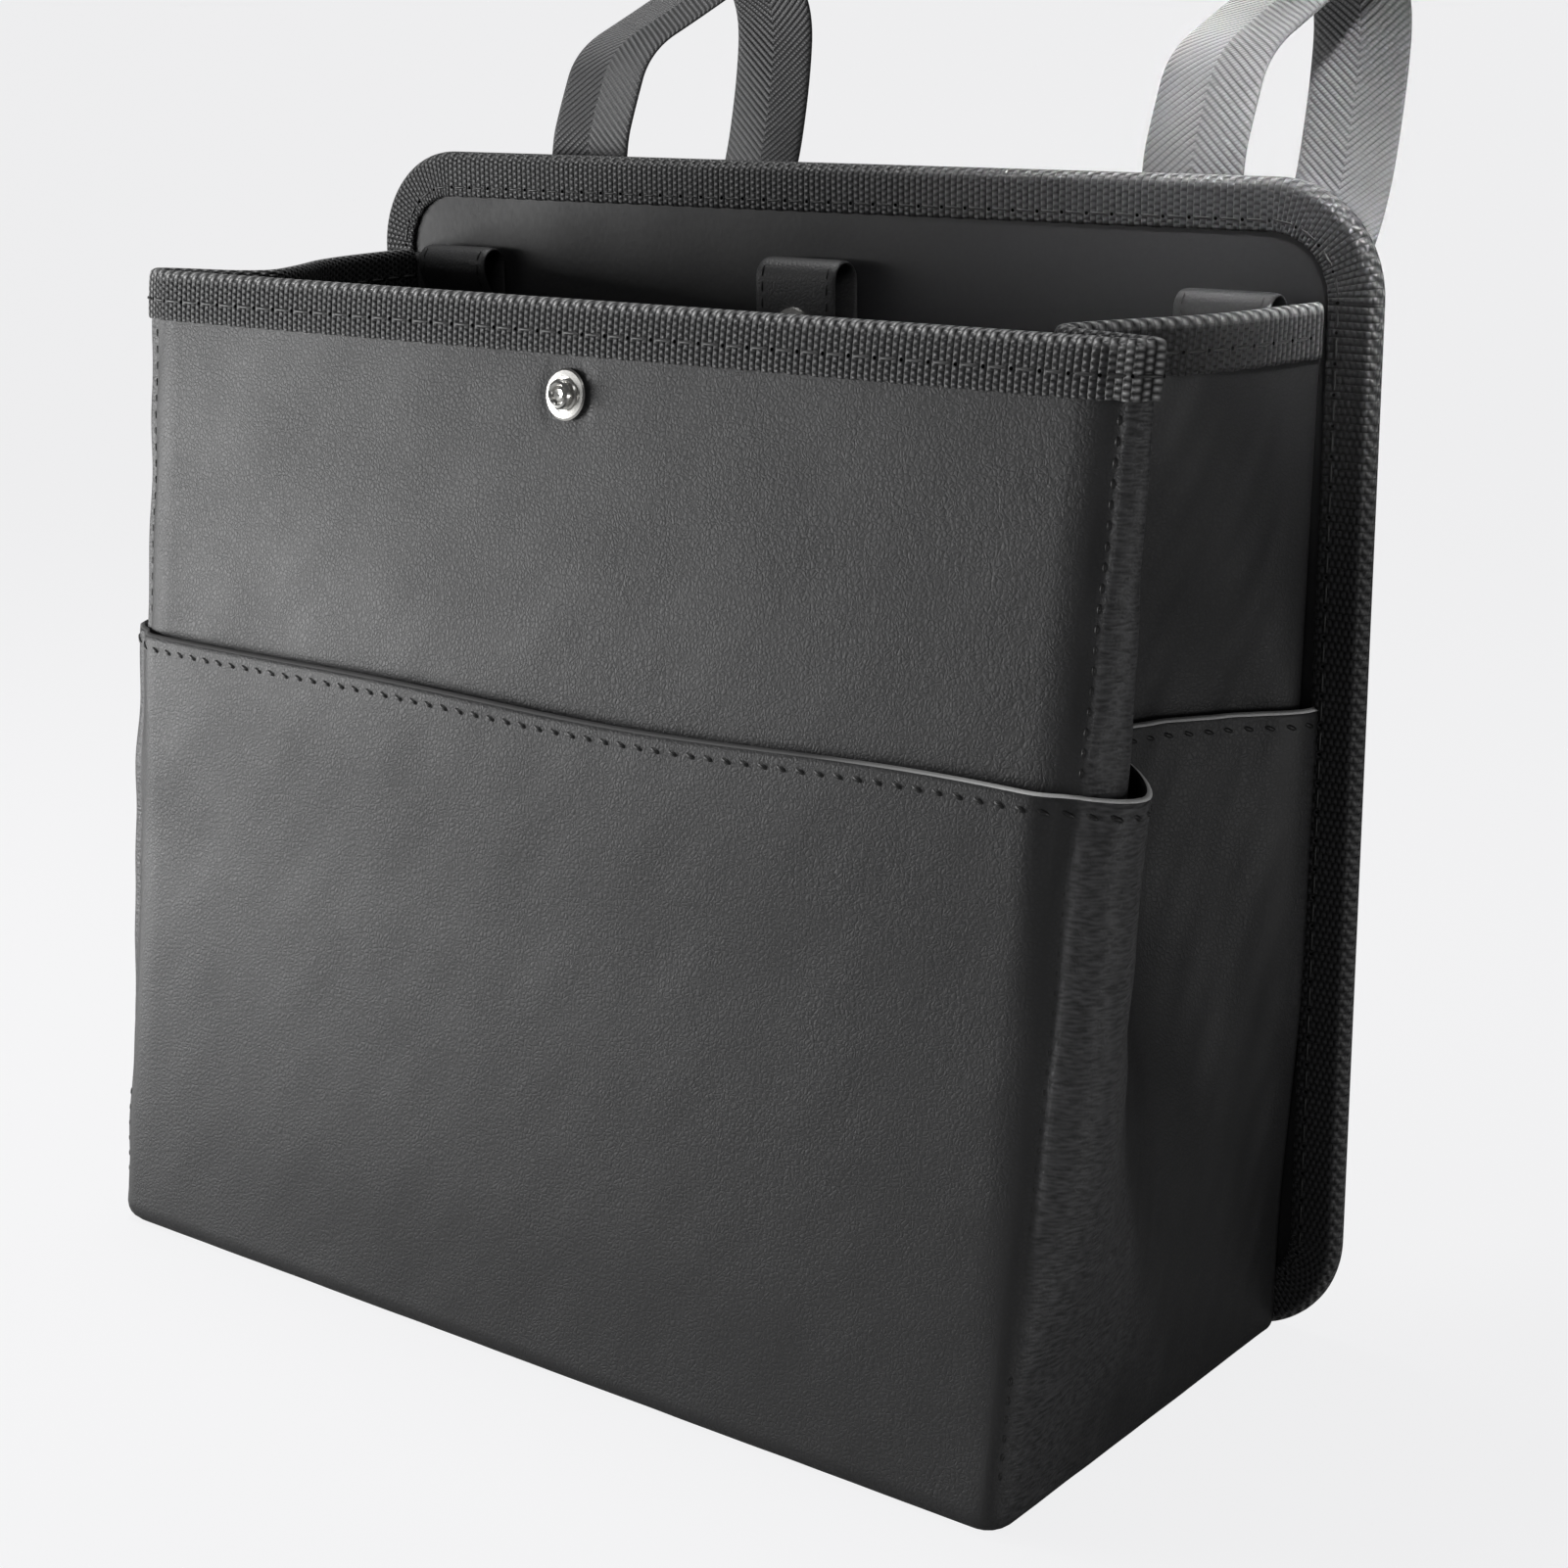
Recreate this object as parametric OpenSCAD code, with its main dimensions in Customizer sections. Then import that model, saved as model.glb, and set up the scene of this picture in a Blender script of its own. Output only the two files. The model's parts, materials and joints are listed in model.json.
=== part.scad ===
// Collapsible hanging bin in sewn leather sheet, for the back of a seat.
// Units are millimetres. +Z is up, +Y points at the seat, and the bag opens upwards.
// The origin is the middle of the base, on the surface that the bin stands on.
// Two side gussets fold inwards like a paper bag, so the bin packs flat against its back panel.

/* [Bag] */
// Height of the rim above the floor
rim_h = 260; // [230:1:300]
// Outside width of the front panel at the rim
front_w = 307; // [270:1:345]
// How much narrower the front panel is at the base
front_taper = 11; // [0:1:16]
// Outside depth of the bag at the base
base_d = 130; // [115:1:160]
// How far the rim of the front leans back towards the seat
front_lean = 34; // [20:1:40]
// Thickness of the outer leather sheet
leather_t = 1.2; // [1:0.1:1.6]
// Rounding of the sheet along the bottom edge
base_round = 5; // [3:0.5:7]
// How far the corner stitching pulls the sheet in beside the front board
corner_dip = 2.2; // [1:0.1:2.6]

/* [Side gussets] */
// Width of the strip between the corner stitching and the outward fold
strip_w = 10; // [9:0.5:12]
// How far the inward fold stands in from the corner
valley_in = 29; // [20:1:32]
// Distance of the inward fold behind the front, at the rim
valley_back_rim = 14; // [12:1:20]
// Distance of the inward fold behind the front, at the pocket
valley_back_mid = 52; // [40:1:60]
// Height at which the folds have reached their full depth
fold_full_h = 150; // [110:5:170]
// Height at which the folds start to leave the flat side
fold_start_h = 22; // [12:2:50]

/* [Back panel] */
// How far the back panel rises above the rim
back_rise = 29; // [22:1:40]
// How far the back panel reaches past the front on each side
back_over = 8.5; // [8:0.5:18]
// Outer corner radius of the back panel
back_r = 28; // [22:1:34]
// Thickness of each leather face of the back panel
face_t = 1.0; // [0.8:0.1:1.2]
// Thickness of the stiff board in the back panel
back_board_t = 2.4; // [2:0.1:3]
// Thickness of the stiff board in the front panel
front_board_t = 2.0; // [1.6:0.1:2.4]
// Thickness of the lining behind the front board
lining_t = 0.8; // [0.6:0.1:1]

/* [Webbing binding] */
// Height of the binding on each side of an edge
bind_w = 12.5; // [10:0.5:14]
// Thickness of the binding
bind_t = 1.0; // [0.8:0.1:1.1]

/* [Pocket] */
// Height of the open pocket edge
pocket_h = 165; // [120:1:180]
// How far the pocket edge stands off the front
pocket_gap = 3.2; // [1.5:0.1:3.6]

/* [Snap fasteners] */
// Diameter of the snap flange
snap_d = 12.5; // [11:0.5:14]
// Distance of the front snap below the rim
snap_drop = 21; // [19:1:35]

/* [Loops and straps] */
// Width of the leather loops and of the closing strap
tab_w = 26; // [20:1:30]
// Distance of the middle of each side loop from the back panel's side edge
tab_edge = 36; // [34:1:62]
// Width of the strap webbing
strap_w = 28; // [22:1:30]
// Distance of each strap's middle from the back panel's side edge, before the shift
strap_edge = 65; // [62:1:77]
// How far the pair of straps sits to the right of the middle
strap_shift = 11; // [0:1:14]
// How far the strap loops reach back over the seat
loop_reach = 87; // [80:1:95]
// How far the strap loops rise above the back panel
loop_rise = 51; // [46:1:60]
// Thickness of the strap webbing
strap_t = 1.3; // [1:0.1:1.5]
// Thickness of the buckles
buckle_t = 11; // [10:0.5:12]

/* [Hidden] */
$fn = 48;
// clearance between soft pieces that lie against each other
fit = 0.3;
// plane of the back panel's front face
back_y = base_d / 2;
panel_w = front_w + 2 * back_over;
tab_x = panel_w / 2 - tab_edge;
strap_x = panel_w / 2 - strap_edge;
panel_h = rim_h + back_rise;
panel_t = 2 * face_t + back_board_t;
rear_y = back_y + panel_t;
// half width of the gusset seam on the back panel at the rim and at the base
seam_top = panel_w / 2 - bind_w - 0.8;
seam_base = min(seam_top - 3, (front_w - front_taper) / 2 - 4);
seam_allow = 9;
// how far the rim binding and the pocket stop short of the back panel's face
rim_short = leather_t + fit + 2;
pocket_short = bind_t + fit;
stack_t = leather_t + front_board_t + lining_t;
snap_h = rim_h - snap_drop;
base_board_t = 2.2;
base_lining_t = 0.8;
base_t = leather_t + base_board_t + base_lining_t;
lean = front_lean / rim_h;
lean_deg = atan(lean);
// colours
leather_c = [0.17, 0.17, 0.18];
webbing_c = [0.10, 0.10, 0.11];
strap_c = [0.24, 0.24, 0.25];
plastic_c = [0.07, 0.07, 0.07];
board_c = [0.45, 0.40, 0.33];
lining_c = [0.13, 0.13, 0.14];
nickel_c = [0.78, 0.78, 0.76];

// smooth step from 0 at a to 1 at b
function ramp(a, b, x) = let (t = min(1, max(0, (x - a) / (b - a)))) t * t * (3 - 2 * t);
function mix(a, b, t) = a * (1 - t) + b * t;
// one round of corner cutting on an open line of points
function cut(p) = [p[0],
    for (i = [0 : len(p) - 2]) each [mix(p[i], p[i + 1], 0.25), mix(p[i], p[i + 1], 0.75)],
    p[len(p) - 1]];
function mirrored(p) = [for (i = [len(p) - 1 : -1 : 0]) [-p[i][0], p[i][1]]];

// front line, front half width and seam half width of the bag at height z
function front_y(z) = -base_d / 2 + lean * z;
function front_half(z) = (front_w - front_taper * (1 - z / rim_h)) / 2;
function seam_half(z) = mix(seam_base, seam_top, z / rim_h);
// how far the sheet turns in at height z, round the bottom edge
function edge_in(z) = z >= base_round ? 0
    : base_round - sqrt(base_round * base_round - (base_round - z) * (base_round - z));
// the seam clears the binding along the bottom of the back panel
function seam_y(z) = back_y - (bind_t + 0.5) * (1 - ramp(bind_w + 1, bind_w + 7, z));

// plan points of the right side at height z, from the front corner to the seam;
// each is a point of the flat side drawn across to its place in the folded side
function side_points(z) =
    let (c = [front_half(z) - edge_in(z), front_y(z) + edge_in(z)])
    let (s = [seam_half(z) - edge_in(z), seam_y(z)])
    let (k = ramp(fold_start_h, fold_full_h, z))
    let (ks = ramp(0, fold_full_h * 0.6, z))
    let (up = ramp(pocket_h - 10, rim_h - 10, z))
    let (at = [0.09, 0.17, 0.5, 0.66, 0.84])
    let (mid = [[0.27, 0.4] * strip_w, [0.85, 1.4] * strip_w, [-valley_in - 2, valley_back_mid],
        [-valley_in, valley_back_mid + 19], [-valley_in / 2, valley_back_mid + 42]])
    let (rim = [[0.26, 0.32] * strip_w, [0.66, 0.84] * strip_w, [-valley_in, valley_back_rim],
        [-valley_in + 6, valley_back_rim + 17], [-valley_in / 3, valley_back_rim + 40]])
    [c + [-1, corner_dip] * ks,
        for (i = [0 : 4]) mix(mix(c, s, at[i]), c + mix(mid[i], rim[i], up), i < 2 ? ks : k),
        s - [0, 5], s];
// whole plan line at height z; a positive tail turns inwards along the back panel as a seam
// allowance, a negative tail stops the line that far short of the panel
function plan_line(z, tail) =
    let (r = side_points(z))
    let (e = tail > 0 ? [r[7], [r[7][0] - tail, r[7][1]]] : [[r[7][0], back_y + tail]])
    let (y = front_y(z) + edge_in(z))
    let (x = front_half(z) - edge_in(z))
    let (right = concat([[x - 9, y], [x - 5.5, y]], [for (i = [0 : 6]) r[i]], e))
    cut(cut(concat(mirrored(right), [[0, y]], right)));
// outward normals of a plan line
function normals(p) = [for (i = [0 : len(p) - 1])
    let (d = p[min(i + 1, len(p) - 1)] - p[max(i - 1, 0)])
    [d[1], -d[0]] / norm(d)];
// points of a plan line at height z, each moved outwards by its own distance
function shifted(z, tail, off) =
    let (p = plan_line(z, tail))
    let (n = normals(p))
    [for (i = [0 : len(p) - 1]) [p[i][0] + n[i][0] * off[i], p[i][1] + n[i][1] * off[i], z]];
// 1 where the line lies on the flat front
function near_front(z) = [for (p = plan_line(z, -rim_short))
    p[1] < front_y(z) + 3 && abs(p[0]) < front_half(z) - 7.5 ? 1 : 0];

// closed sheet between two grids of points of the same size
module shell(a, b) {
    n = len(a);
    m = len(a[0]);
    q = n * m;
    function id(i, j) = i * m + j;
    polyhedron(points = concat([for (r = a) each r], [for (r = b) each r]), faces = concat(
        [for (i = [0 : n - 2], j = [0 : m - 2]) each [
            [id(i, j), id(i + 1, j), id(i + 1, j + 1)], [id(i, j), id(i + 1, j + 1), id(i, j + 1)],
            [q + id(i, j), q + id(i + 1, j + 1), q + id(i + 1, j)],
            [q + id(i, j), q + id(i, j + 1), q + id(i + 1, j + 1)]]],
        [for (j = [0 : m - 2]) each [
            [id(0, j), id(0, j + 1), q + id(0, j + 1)], [id(0, j), q + id(0, j + 1), q + id(0, j)],
            [id(n - 1, j), q + id(n - 1, j), q + id(n - 1, j + 1)],
            [id(n - 1, j), q + id(n - 1, j + 1), id(n - 1, j + 1)]]],
        [for (i = [0 : n - 2]) each [
            [id(i, 0), q + id(i, 0), q + id(i + 1, 0)], [id(i, 0), q + id(i + 1, 0), id(i + 1, 0)],
            [id(i, m - 1), id(i + 1, m - 1), q + id(i + 1, m - 1)],
            [id(i, m - 1), q + id(i + 1, m - 1), q + id(i, m - 1)]]]));
}

// places a shape drawn on the front: X stays, drawing +Z points out of the leaning front
module on_leaning_front(z) {
    translate([0, front_y(z), z])
        rotate([90 - lean_deg, 0, 0])
            children();
}

// flat sheet behind the leaning front, from distance d0 to d1 behind it
module front_sheet(d0, d1, half, z0, z1) {
    rotate([90, 0, 90])
        translate([0, 0, -half])
            linear_extrude(2 * half)
                polygon([[front_y(z0) + d0, z0], [front_y(z0) + d1, z0],
                    [front_y(z1) + d1, z1], [front_y(z1) + d0, z1]]);
}

// rectangle with round corners, standing in the plane of the back panel
module rounded(w, h, r) {
    translate([-w / 2 + r, 0])
        square([w - 2 * r, h]);
    translate([-w / 2, r])
        square([w, h - 2 * r]);
    for (x = [-w / 2 + r, w / 2 - r], y = [r, h - r])
        translate([x, y])
            circle(r, $fn = 64);
}
// plate of the back panel: inset from the outline, from plane y0 to plane y1
module back_plate(inset, y0, y1) {
    translate([0, y1, inset])
        rotate([90, 0, 0])
            linear_extrude(y1 - y0)
                rounded(panel_w - 2 * inset, panel_h - 2 * inset, back_r - inset);
}

// Back panel: stiff board between two leather faces, edged with webbing
module back_face_leather() {
    color(leather_c)
        back_plate(bind_t + fit, back_y, back_y + face_t);
}
module back_board() {
    color(board_c)
        back_plate(bind_t + 1.5, back_y + face_t, rear_y - face_t);
}
module back_rear_leather() {
    color(leather_c)
        back_plate(bind_t + fit, rear_y - face_t, rear_y);
}
module back_binding() {
    color(webbing_c)
        difference() {
            back_plate(0, back_y - bind_t, rear_y + bind_t);
            back_plate(bind_t, back_y, rear_y);
            back_plate(bind_w, back_y - 5, rear_y + 5);
        }
}

// Body: one leather sheet that makes the front and both folded gussets
low_z = concat([0, 0.2, 0.5, 1] * base_round, [bind_w, bind_w + 7],
    [for (i = [1 : 7]) mix(bind_w + 7, pocket_h, i / 7)]);
body_z = concat(low_z, [for (t = [0.25, 0.5, 0.75]) mix(pocket_h, rim_h - bind_w, t)],
    [rim_h - bind_w + bind_t, rim_h]);
module body_sheet() {
    n = len(plan_line(rim_h, seam_allow));
    color(leather_c)
        difference() {
            shell(
                [for (z = body_z) shifted(z, seam_allow, [for (i = [1 : n]) 0])],
                [for (z = body_z) shifted(z, seam_allow, [for (i = [1 : n]) -leather_t])]);
            snap_hole();
        }
}
module front_board() {
    color(board_c)
        difference() {
            front_sheet(leather_t, leather_t + front_board_t, (front_w - front_taper) / 2 - 8,
                base_t + 1, rim_h - 0.5);
            snap_hole();
        }
}
module front_lining() {
    color(lining_c)
        difference() {
            front_sheet(leather_t + front_board_t, stack_t, (front_w - front_taper) / 2 - 7.5,
                base_t + 1, rim_h - 0.2);
            snap_hole();
        }
}

// Rim binding: webbing folded over the top edge of the front and both gussets
module rim_binding() {
    n = len(plan_line(rim_h, -rim_short));
    front = near_front(rim_h);
    // thickness under the inner leg: the whole stack on the front, one sheet on the gussets
    core = [for (i = [0 : n - 1]) front[i] == 1 ? stack_t + 0.2 : leather_t + 0.2];
    outer = [for (i = [0 : n - 1]) 0.2];
    low = rim_h - bind_w + bind_t;
    top = rim_h + 0.2;
    function at(z, off) = shifted(z, -rim_short, off);
    function lift(p, dz) = [for (q = p) q + [0, 0, dz]];
    color(webbing_c)
        shell(
            [at(low, outer + [for (v = outer) bind_t]),
                at(top - 3, outer + [for (v = outer) bind_t]),
                lift(at(rim_h, outer + [for (v = outer) bind_t]), -0.2),
                lift(at(rim_h, outer + [for (v = outer) bind_t - 0.7]), 0.2 + bind_t),
                lift(at(rim_h, [for (v = core) -v - bind_t + 0.7]), 0.2 + bind_t),
                lift(at(rim_h, [for (v = core) -v - bind_t]), -0.2),
                at(top - 3, [for (v = core) -v - bind_t]),
                at(low, [for (v = core) -v - bind_t])],
            [at(low, outer), at(top - 3, outer), lift(at(rim_h, outer), -0.3),
                lift(at(rim_h, outer - [for (v = outer) 0.1]), 0.2),
                lift(at(rim_h, [for (v = core) -v + 0.1]), 0.2),
                lift(at(rim_h, [for (v = core) -v]), -0.3),
                at(top - 3, [for (v = core) -v]), at(low, [for (v = core) -v])]);
}

// Pocket: second leather sheet round the front and the gussets, open at the top;
// it stands off the front near its edge and off the gussets from lower down, but not at the corner
module pocket_sheet() {
    z_rows = [for (i = [1 : len(low_z) - 1]) low_z[i]];
    function free(z, p) = p[1] < front_y(z) + 3 && abs(p[0]) < front_half(z)
        ? ramp(pocket_h - 60, pocket_h, z) : ramp(0.15 * pocket_h, 0.6 * pocket_h, z);
    function stand(z) = [for (p = plan_line(z, -pocket_short)) fit + (pocket_gap - fit)
        * free(z, p) * ramp(1, 9, norm([abs(p[0]) - front_half(z), p[1] - front_y(z)]))];
    color(leather_c)
        shell(
            [for (z = z_rows) shifted(z, -pocket_short, stand(z) + [for (v = stand(z)) leather_t])],
            [for (z = z_rows) shifted(z, -pocket_short, stand(z))]);
}

// Base: leather outside, board, and lining inside
module base_plate(z0, z1) {
    y0 = front_y(z1) + leather_t + fit + edge_in(z0);
    y1 = seam_y(0);
    x0 = front_half(0) - leather_t - fit - 0.5 - edge_in(z0);
    x1 = seam_base - leather_t - fit - 0.5 - edge_in(z0);
    r = 8;
    translate([0, 0, z0])
        linear_extrude(z1 - z0)
            polygon([[-x0 + r, y0], [x0 - r, y0], [x0 - r / 3, y0 + r / 3], [x0, y0 + r],
                [x1, y1 - leather_t - fit], [x1 - seam_allow, y1 - leather_t - fit],
                [x1 - seam_allow, y1], [-x1 + seam_allow, y1],
                [-x1 + seam_allow, y1 - leather_t - fit], [-x1, y1 - leather_t - fit],
                [-x0, y0 + r], [-x0 + r / 3, y0 + r / 3]]);
}
module base_leather() {
    color(leather_c)
        base_plate(0, leather_t);
}
module base_board() {
    color(board_c)
        base_plate(leather_t, leather_t + base_board_t);
}
module base_lining() {
    color(lining_c)
        base_plate(leather_t + base_board_t, base_t);
}

// Snap on the front, just below the binding: stud outside, post through the panel
post_r = 1.9;
module snap_hole() {
    on_leaning_front(snap_h)
        translate([0, 0, -10])
            cylinder(20, r = post_r + 0.25);
}
module front_snap_stud() {
    color(nickel_c)
        on_leaning_front(snap_h)
            rotate_extrude()
                polygon([[post_r + 0.05, 0], [snap_d / 2 - 0.6, 0], [snap_d / 2, 0.35],
                    [snap_d / 2, 0.7], [snap_d / 2 - 0.5, 1.0], [snap_d / 2 - 1.9, 1.15],
                    [3.7, 0.9], [3.35, 1.2], [3.3, 2.2], [3.6, 3.0], [3.3, 3.6],
                    [2.7, 3.8], [post_r + 0.3, 3.3], [post_r + 0.05, 2.8]]);
}
module front_snap_post() {
    inner = stack_t * cos(lean_deg);
    color(nickel_c)
        on_leaning_front(snap_h)
            translate([0, 0, -inner])
                rotate_extrude()
                    polygon([[0, -1.3], [3.6, -1.2], [5.2, -0.7], [5.2, 0], [post_r, 0],
                        [post_r, inner + 2.9], [post_r - 0.6, inner + 3.2], [0, inner + 3.0]]);
}

// Leather loop sewn on the back panel's face, seen from its side as a drop shape
loop_r = 4.8;
tab_t = 1.4;
// length of a loop's legs below its bend
tab_leg = 28;
// flat strip of any width along a route in the Y-Z plane, half its thickness on both sides
module ribbon(x, w, t, route, rounds) {
    p = rounds == 2 ? cut(cut(route)) : cut(route);
    n = normals(p);
    translate([x - w / 2, 0, 0])
        rotate([90, 0, 90])
            linear_extrude(w)
                polygon(concat([for (i = [0 : len(p) - 1]) p[i] + n[i] * t / 2],
                    [for (i = [len(p) - 1 : -1 : 0]) p[i] - n[i] * t / 2]));
}
module loop_tab(x) {
    r = loop_r - tab_t / 2;
    c = [back_y - loop_r, rim_h + 3 - loop_r];
    front_in = back_y - 1.5 * tab_t - 0.2;
    color(leather_c)
        ribbon(x, tab_w, tab_t, concat(
            [[back_y - tab_t / 2, c[1] - tab_leg], [back_y - tab_t / 2, c[1] - 2]],
            [for (a = [0 : 20 : 180]) c + r * [cos(a), sin(a)]],
            [[c[0] - r, c[1] - 3], [front_in, c[1] - 0.54 * tab_leg],
                [front_in, c[1] - 0.72 * tab_leg], [front_in, c[1] - tab_leg]]), 1);
}
module loop_tab_left() {
    loop_tab(-tab_x);
}
module loop_tab_right() {
    loop_tab(tab_x);
}

// Closing strap: sewn to the back panel, folded forwards, free end hanging in the bag
strap_fold_r = 5.4;
close_top = rim_h + 5;
close_y = back_y - 2 * strap_fold_r;
// free length of the closing strap, and the distance of its snap below the fold
close_len = 38;
close_snap_drop = 18.5;
close_end = close_top - close_len;
close_snap_z = close_top - close_snap_drop;
module closing_strap() {
    r = strap_fold_r - tab_t / 2;
    c = [back_y - strap_fold_r, close_top - strap_fold_r];
    color(leather_c)
        difference() {
            ribbon(0, tab_w, tab_t, concat(
                [[back_y - tab_t / 2, c[1] - tab_leg + 2], [back_y - tab_t / 2, c[1] - 2]],
                [for (a = [0 : 20 : 180]) c + r * [cos(a), sin(a)]],
                [[c[0] - r, c[1] - 3], [c[0] - r, close_end]]), 1);
            translate([0, close_y, close_snap_z])
                rotate([-90, 0, 0])
                    cylinder(12, r = post_r + 0.25, center = true);
        }
}
module closing_snap_cap() {
    color(nickel_c)
        translate([0, close_y, close_snap_z])
            rotate([90, 0, 0])
                rotate_extrude()
                    polygon([[0, -tab_t - 1.6], [post_r, -tab_t - 1.6], [post_r, 0],
                        [snap_d / 2 - 0.2, 0], [snap_d / 2, 0.3], [snap_d / 2 - 0.3, 1.0],
                        [snap_d / 2 - 1.6, 1.7], [3.2, 2.2], [1.5, 2.4], [0, 2.45]]);
}
module closing_snap_socket() {
    color(nickel_c)
        translate([0, close_y + tab_t, close_snap_z])
            rotate([-90, 0, 0])
                rotate_extrude()
                    polygon([[post_r + 0.1, 0], [5.6, 0], [5.8, 0.6], [5.4, 2.6], [4.3, 2.9],
                        [3.9, 2.6], [3.9, 0.9], [post_r + 0.1, 0.9]]);
}

// Strap route, seen from the side: Y and Z of the middle of the webbing
hug_y = rear_y + strap_t / 2;
over_y = rear_y + bind_t + fit + strap_t / 2;
left_x = strap_shift - strap_x;
right_x = strap_shift + strap_x;
// the buckle's length runs from the short strap up and back to the long strap
buckle_tilt = 36;
buckle_dir = [sin(buckle_tilt), cos(buckle_tilt)];
side_dir = [-buckle_dir[1], buckle_dir[0]];
bar_out = 22;
bar_drop = 58;
female_bar = [rear_y + bar_out, rim_h - bar_drop];
bar_gap = 50;
male_bar = female_bar + buckle_dir * bar_gap;
bar_r = 1.7;
wrap_r = bar_r + fit + strap_t / 2;
lap_r = (strap_t + fit) / 2;
// depths below the rim of the sewn ends, and lengths of the ends lapped back at the buckle
long_end = 52;
short_end = 122;
short_leave = 96;
long_lap = 32;
short_lap = 22;
// a point of the strap loop, as shares of its reach and of its rise
function over(u, v) = [rear_y + u * loop_reach, panel_h + v * loop_rise];
long_route = concat(
    [[hug_y, rim_h - long_end], [hug_y, rim_h - 4], [over_y, rim_h + 12], [over_y, panel_h + 2],
        over(0.07, 0.25), over(0.15, 0.55), over(0.41, 0.73), over(0.67, 0.92), over(0.87, 1),
        over(1, 0.78), over(0.98, 0.35), male_bar + buckle_dir * (long_lap + 12) - side_dir * lap_r,
        male_bar + buckle_dir * 0.62 * long_lap - side_dir * lap_r,
        male_bar + buckle_dir * 6 - side_dir * wrap_r],
    [for (a = [0 : 30 : 180]) male_bar - side_dir * cos(a) * wrap_r - buckle_dir * sin(a) * wrap_r],
    [male_bar + buckle_dir * 6 + side_dir * wrap_r,
        male_bar + buckle_dir * 0.62 * long_lap + side_dir * lap_r,
        male_bar + buckle_dir * long_lap + side_dir * lap_r]);
short_route = concat(
    [[hug_y, rim_h - short_end], [hug_y, rim_h - short_leave],
        female_bar - buckle_dir * (short_lap + 2) - side_dir * lap_r,
        female_bar - buckle_dir * 0.77 * short_lap - side_dir * lap_r,
        female_bar - buckle_dir * 5 - side_dir * wrap_r],
    [for (a = [0 : 30 : 180]) female_bar - side_dir * cos(a) * wrap_r + buckle_dir * sin(a) * wrap_r],
    [female_bar - buckle_dir * 5 + side_dir * wrap_r,
        female_bar - buckle_dir * 0.73 * short_lap + side_dir * lap_r,
        female_bar - buckle_dir * short_lap + side_dir * lap_r]);
module strap_left() {
    color(strap_c)
        ribbon(left_x, strap_w, strap_t, long_route, 2);
}
module strap_right() {
    color(strap_c)
        ribbon(right_x, strap_w, strap_t, long_route, 2);
}
module short_strap_left() {
    color(strap_c)
        ribbon(left_x, strap_w, strap_t, short_route, 2);
}
module short_strap_right() {
    color(strap_c)
        ribbon(right_x, strap_w, strap_t, short_route, 2);
}

// Side release buckle: drawn with +Z along its length and Y across its thickness
cheek_w = 3.4;
cheek_gap = 1.1;
buckle_w = strap_w + 2 * (cheek_w + cheek_gap);
slot_w = buckle_w - 2 * cheek_w;
// where the socket body starts and ends, measured from the bar of the socket half
sock_lo = 4.4;
sock_hi = 33;
prong_x = 10.5;
module in_buckle(x) {
    translate([x, female_bar[0], female_bar[1]])
        rotate([-buckle_tilt, 0, 0])
            children();
}
// bar from side to side with the two cheeks that carry it
module buckle_end(z_bar, z_body) {
    z0 = min(z_bar - bar_r, z_body);
    h = abs(z_body - z_bar) + bar_r;
    translate([0, 0, z_bar])
        rotate([0, 90, 0])
            cylinder(slot_w + 1, r = bar_r, center = true);
    for (s = [-1, 1])
        translate([s * (slot_w + cheek_w) / 2, 0, z0 + h / 2])
            cube([cheek_w, 6.4, h], center = true);
}
// block with round long edges
module buckle_block(w, t, r, z0, z1) {
    translate([0, 0, z0])
        linear_extrude(z1 - z0) {
            square([w - 2 * r, t], center = true);
            square([w, t - 2 * r], center = true);
            for (x = [-w / 2 + r, w / 2 - r], y = [-t / 2 + r, t / 2 - r])
                translate([x, y])
                    circle(r, $fn = 32);
        }
}
module buckle_female(x) {
    color(plastic_c)
        in_buckle(x) {
            difference() {
                buckle_block(buckle_w, buckle_t, 3, sock_lo, sock_hi);
                translate([0, 0, sock_lo + 4 + 20])
                    cube([buckle_w - 7, buckle_t - 4.4, 40], center = true);
                for (s = [-1, 1])
                    translate([s * buckle_w / 2, 0, sock_lo + 14])
                        cube([9, buckle_t - 4.4, 12], center = true);
                for (s = [-1, 1])
                    translate([s * (buckle_w / 2 + 5), 0, sock_lo + 14])
                        rotate([90, 0, 0])
                            cylinder(buckle_t + 2, r = 8.5, center = true);
            }
            buckle_end(0, sock_lo + 1);
        }
}
module buckle_male(x) {
    color(plastic_c)
        in_buckle(x) {
            difference() {
                buckle_block(buckle_w, buckle_t - 0.6, 3, sock_hi + fit, bar_gap - 4.4);
                for (s = [-1, 1])
                    translate([0, s * buckle_t * 0.62, sock_hi + 7])
                        rotate([0, 90, 0])
                            cylinder(slot_w - 6, r = 3.4, center = true);
            }
            buckle_end(bar_gap, bar_gap - 5.4);
            translate([0, 0, (sock_lo + 6 + sock_hi + 2) / 2])
                cube([3, 5.4, sock_hi - sock_lo - 4], center = true);
            for (s = [-1, 1]) {
                translate([s * prong_x, 0, (sock_lo + 6 + sock_hi + 2) / 2])
                    cube([2.6, 5.4, sock_hi - sock_lo - 4], center = true);
                translate([s * (prong_x + 1.2), 0, sock_lo + 14])
                    rotate([90, 0, 0])
                        cylinder(5.4, r = 4.4, center = true);
            }
        }
}
module buckle_male_left() {
    buckle_male(left_x);
}
module buckle_male_right() {
    buckle_male(right_x);
}
module buckle_female_left() {
    buckle_female(left_x);
}
module buckle_female_right() {
    buckle_female(right_x);
}

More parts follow.
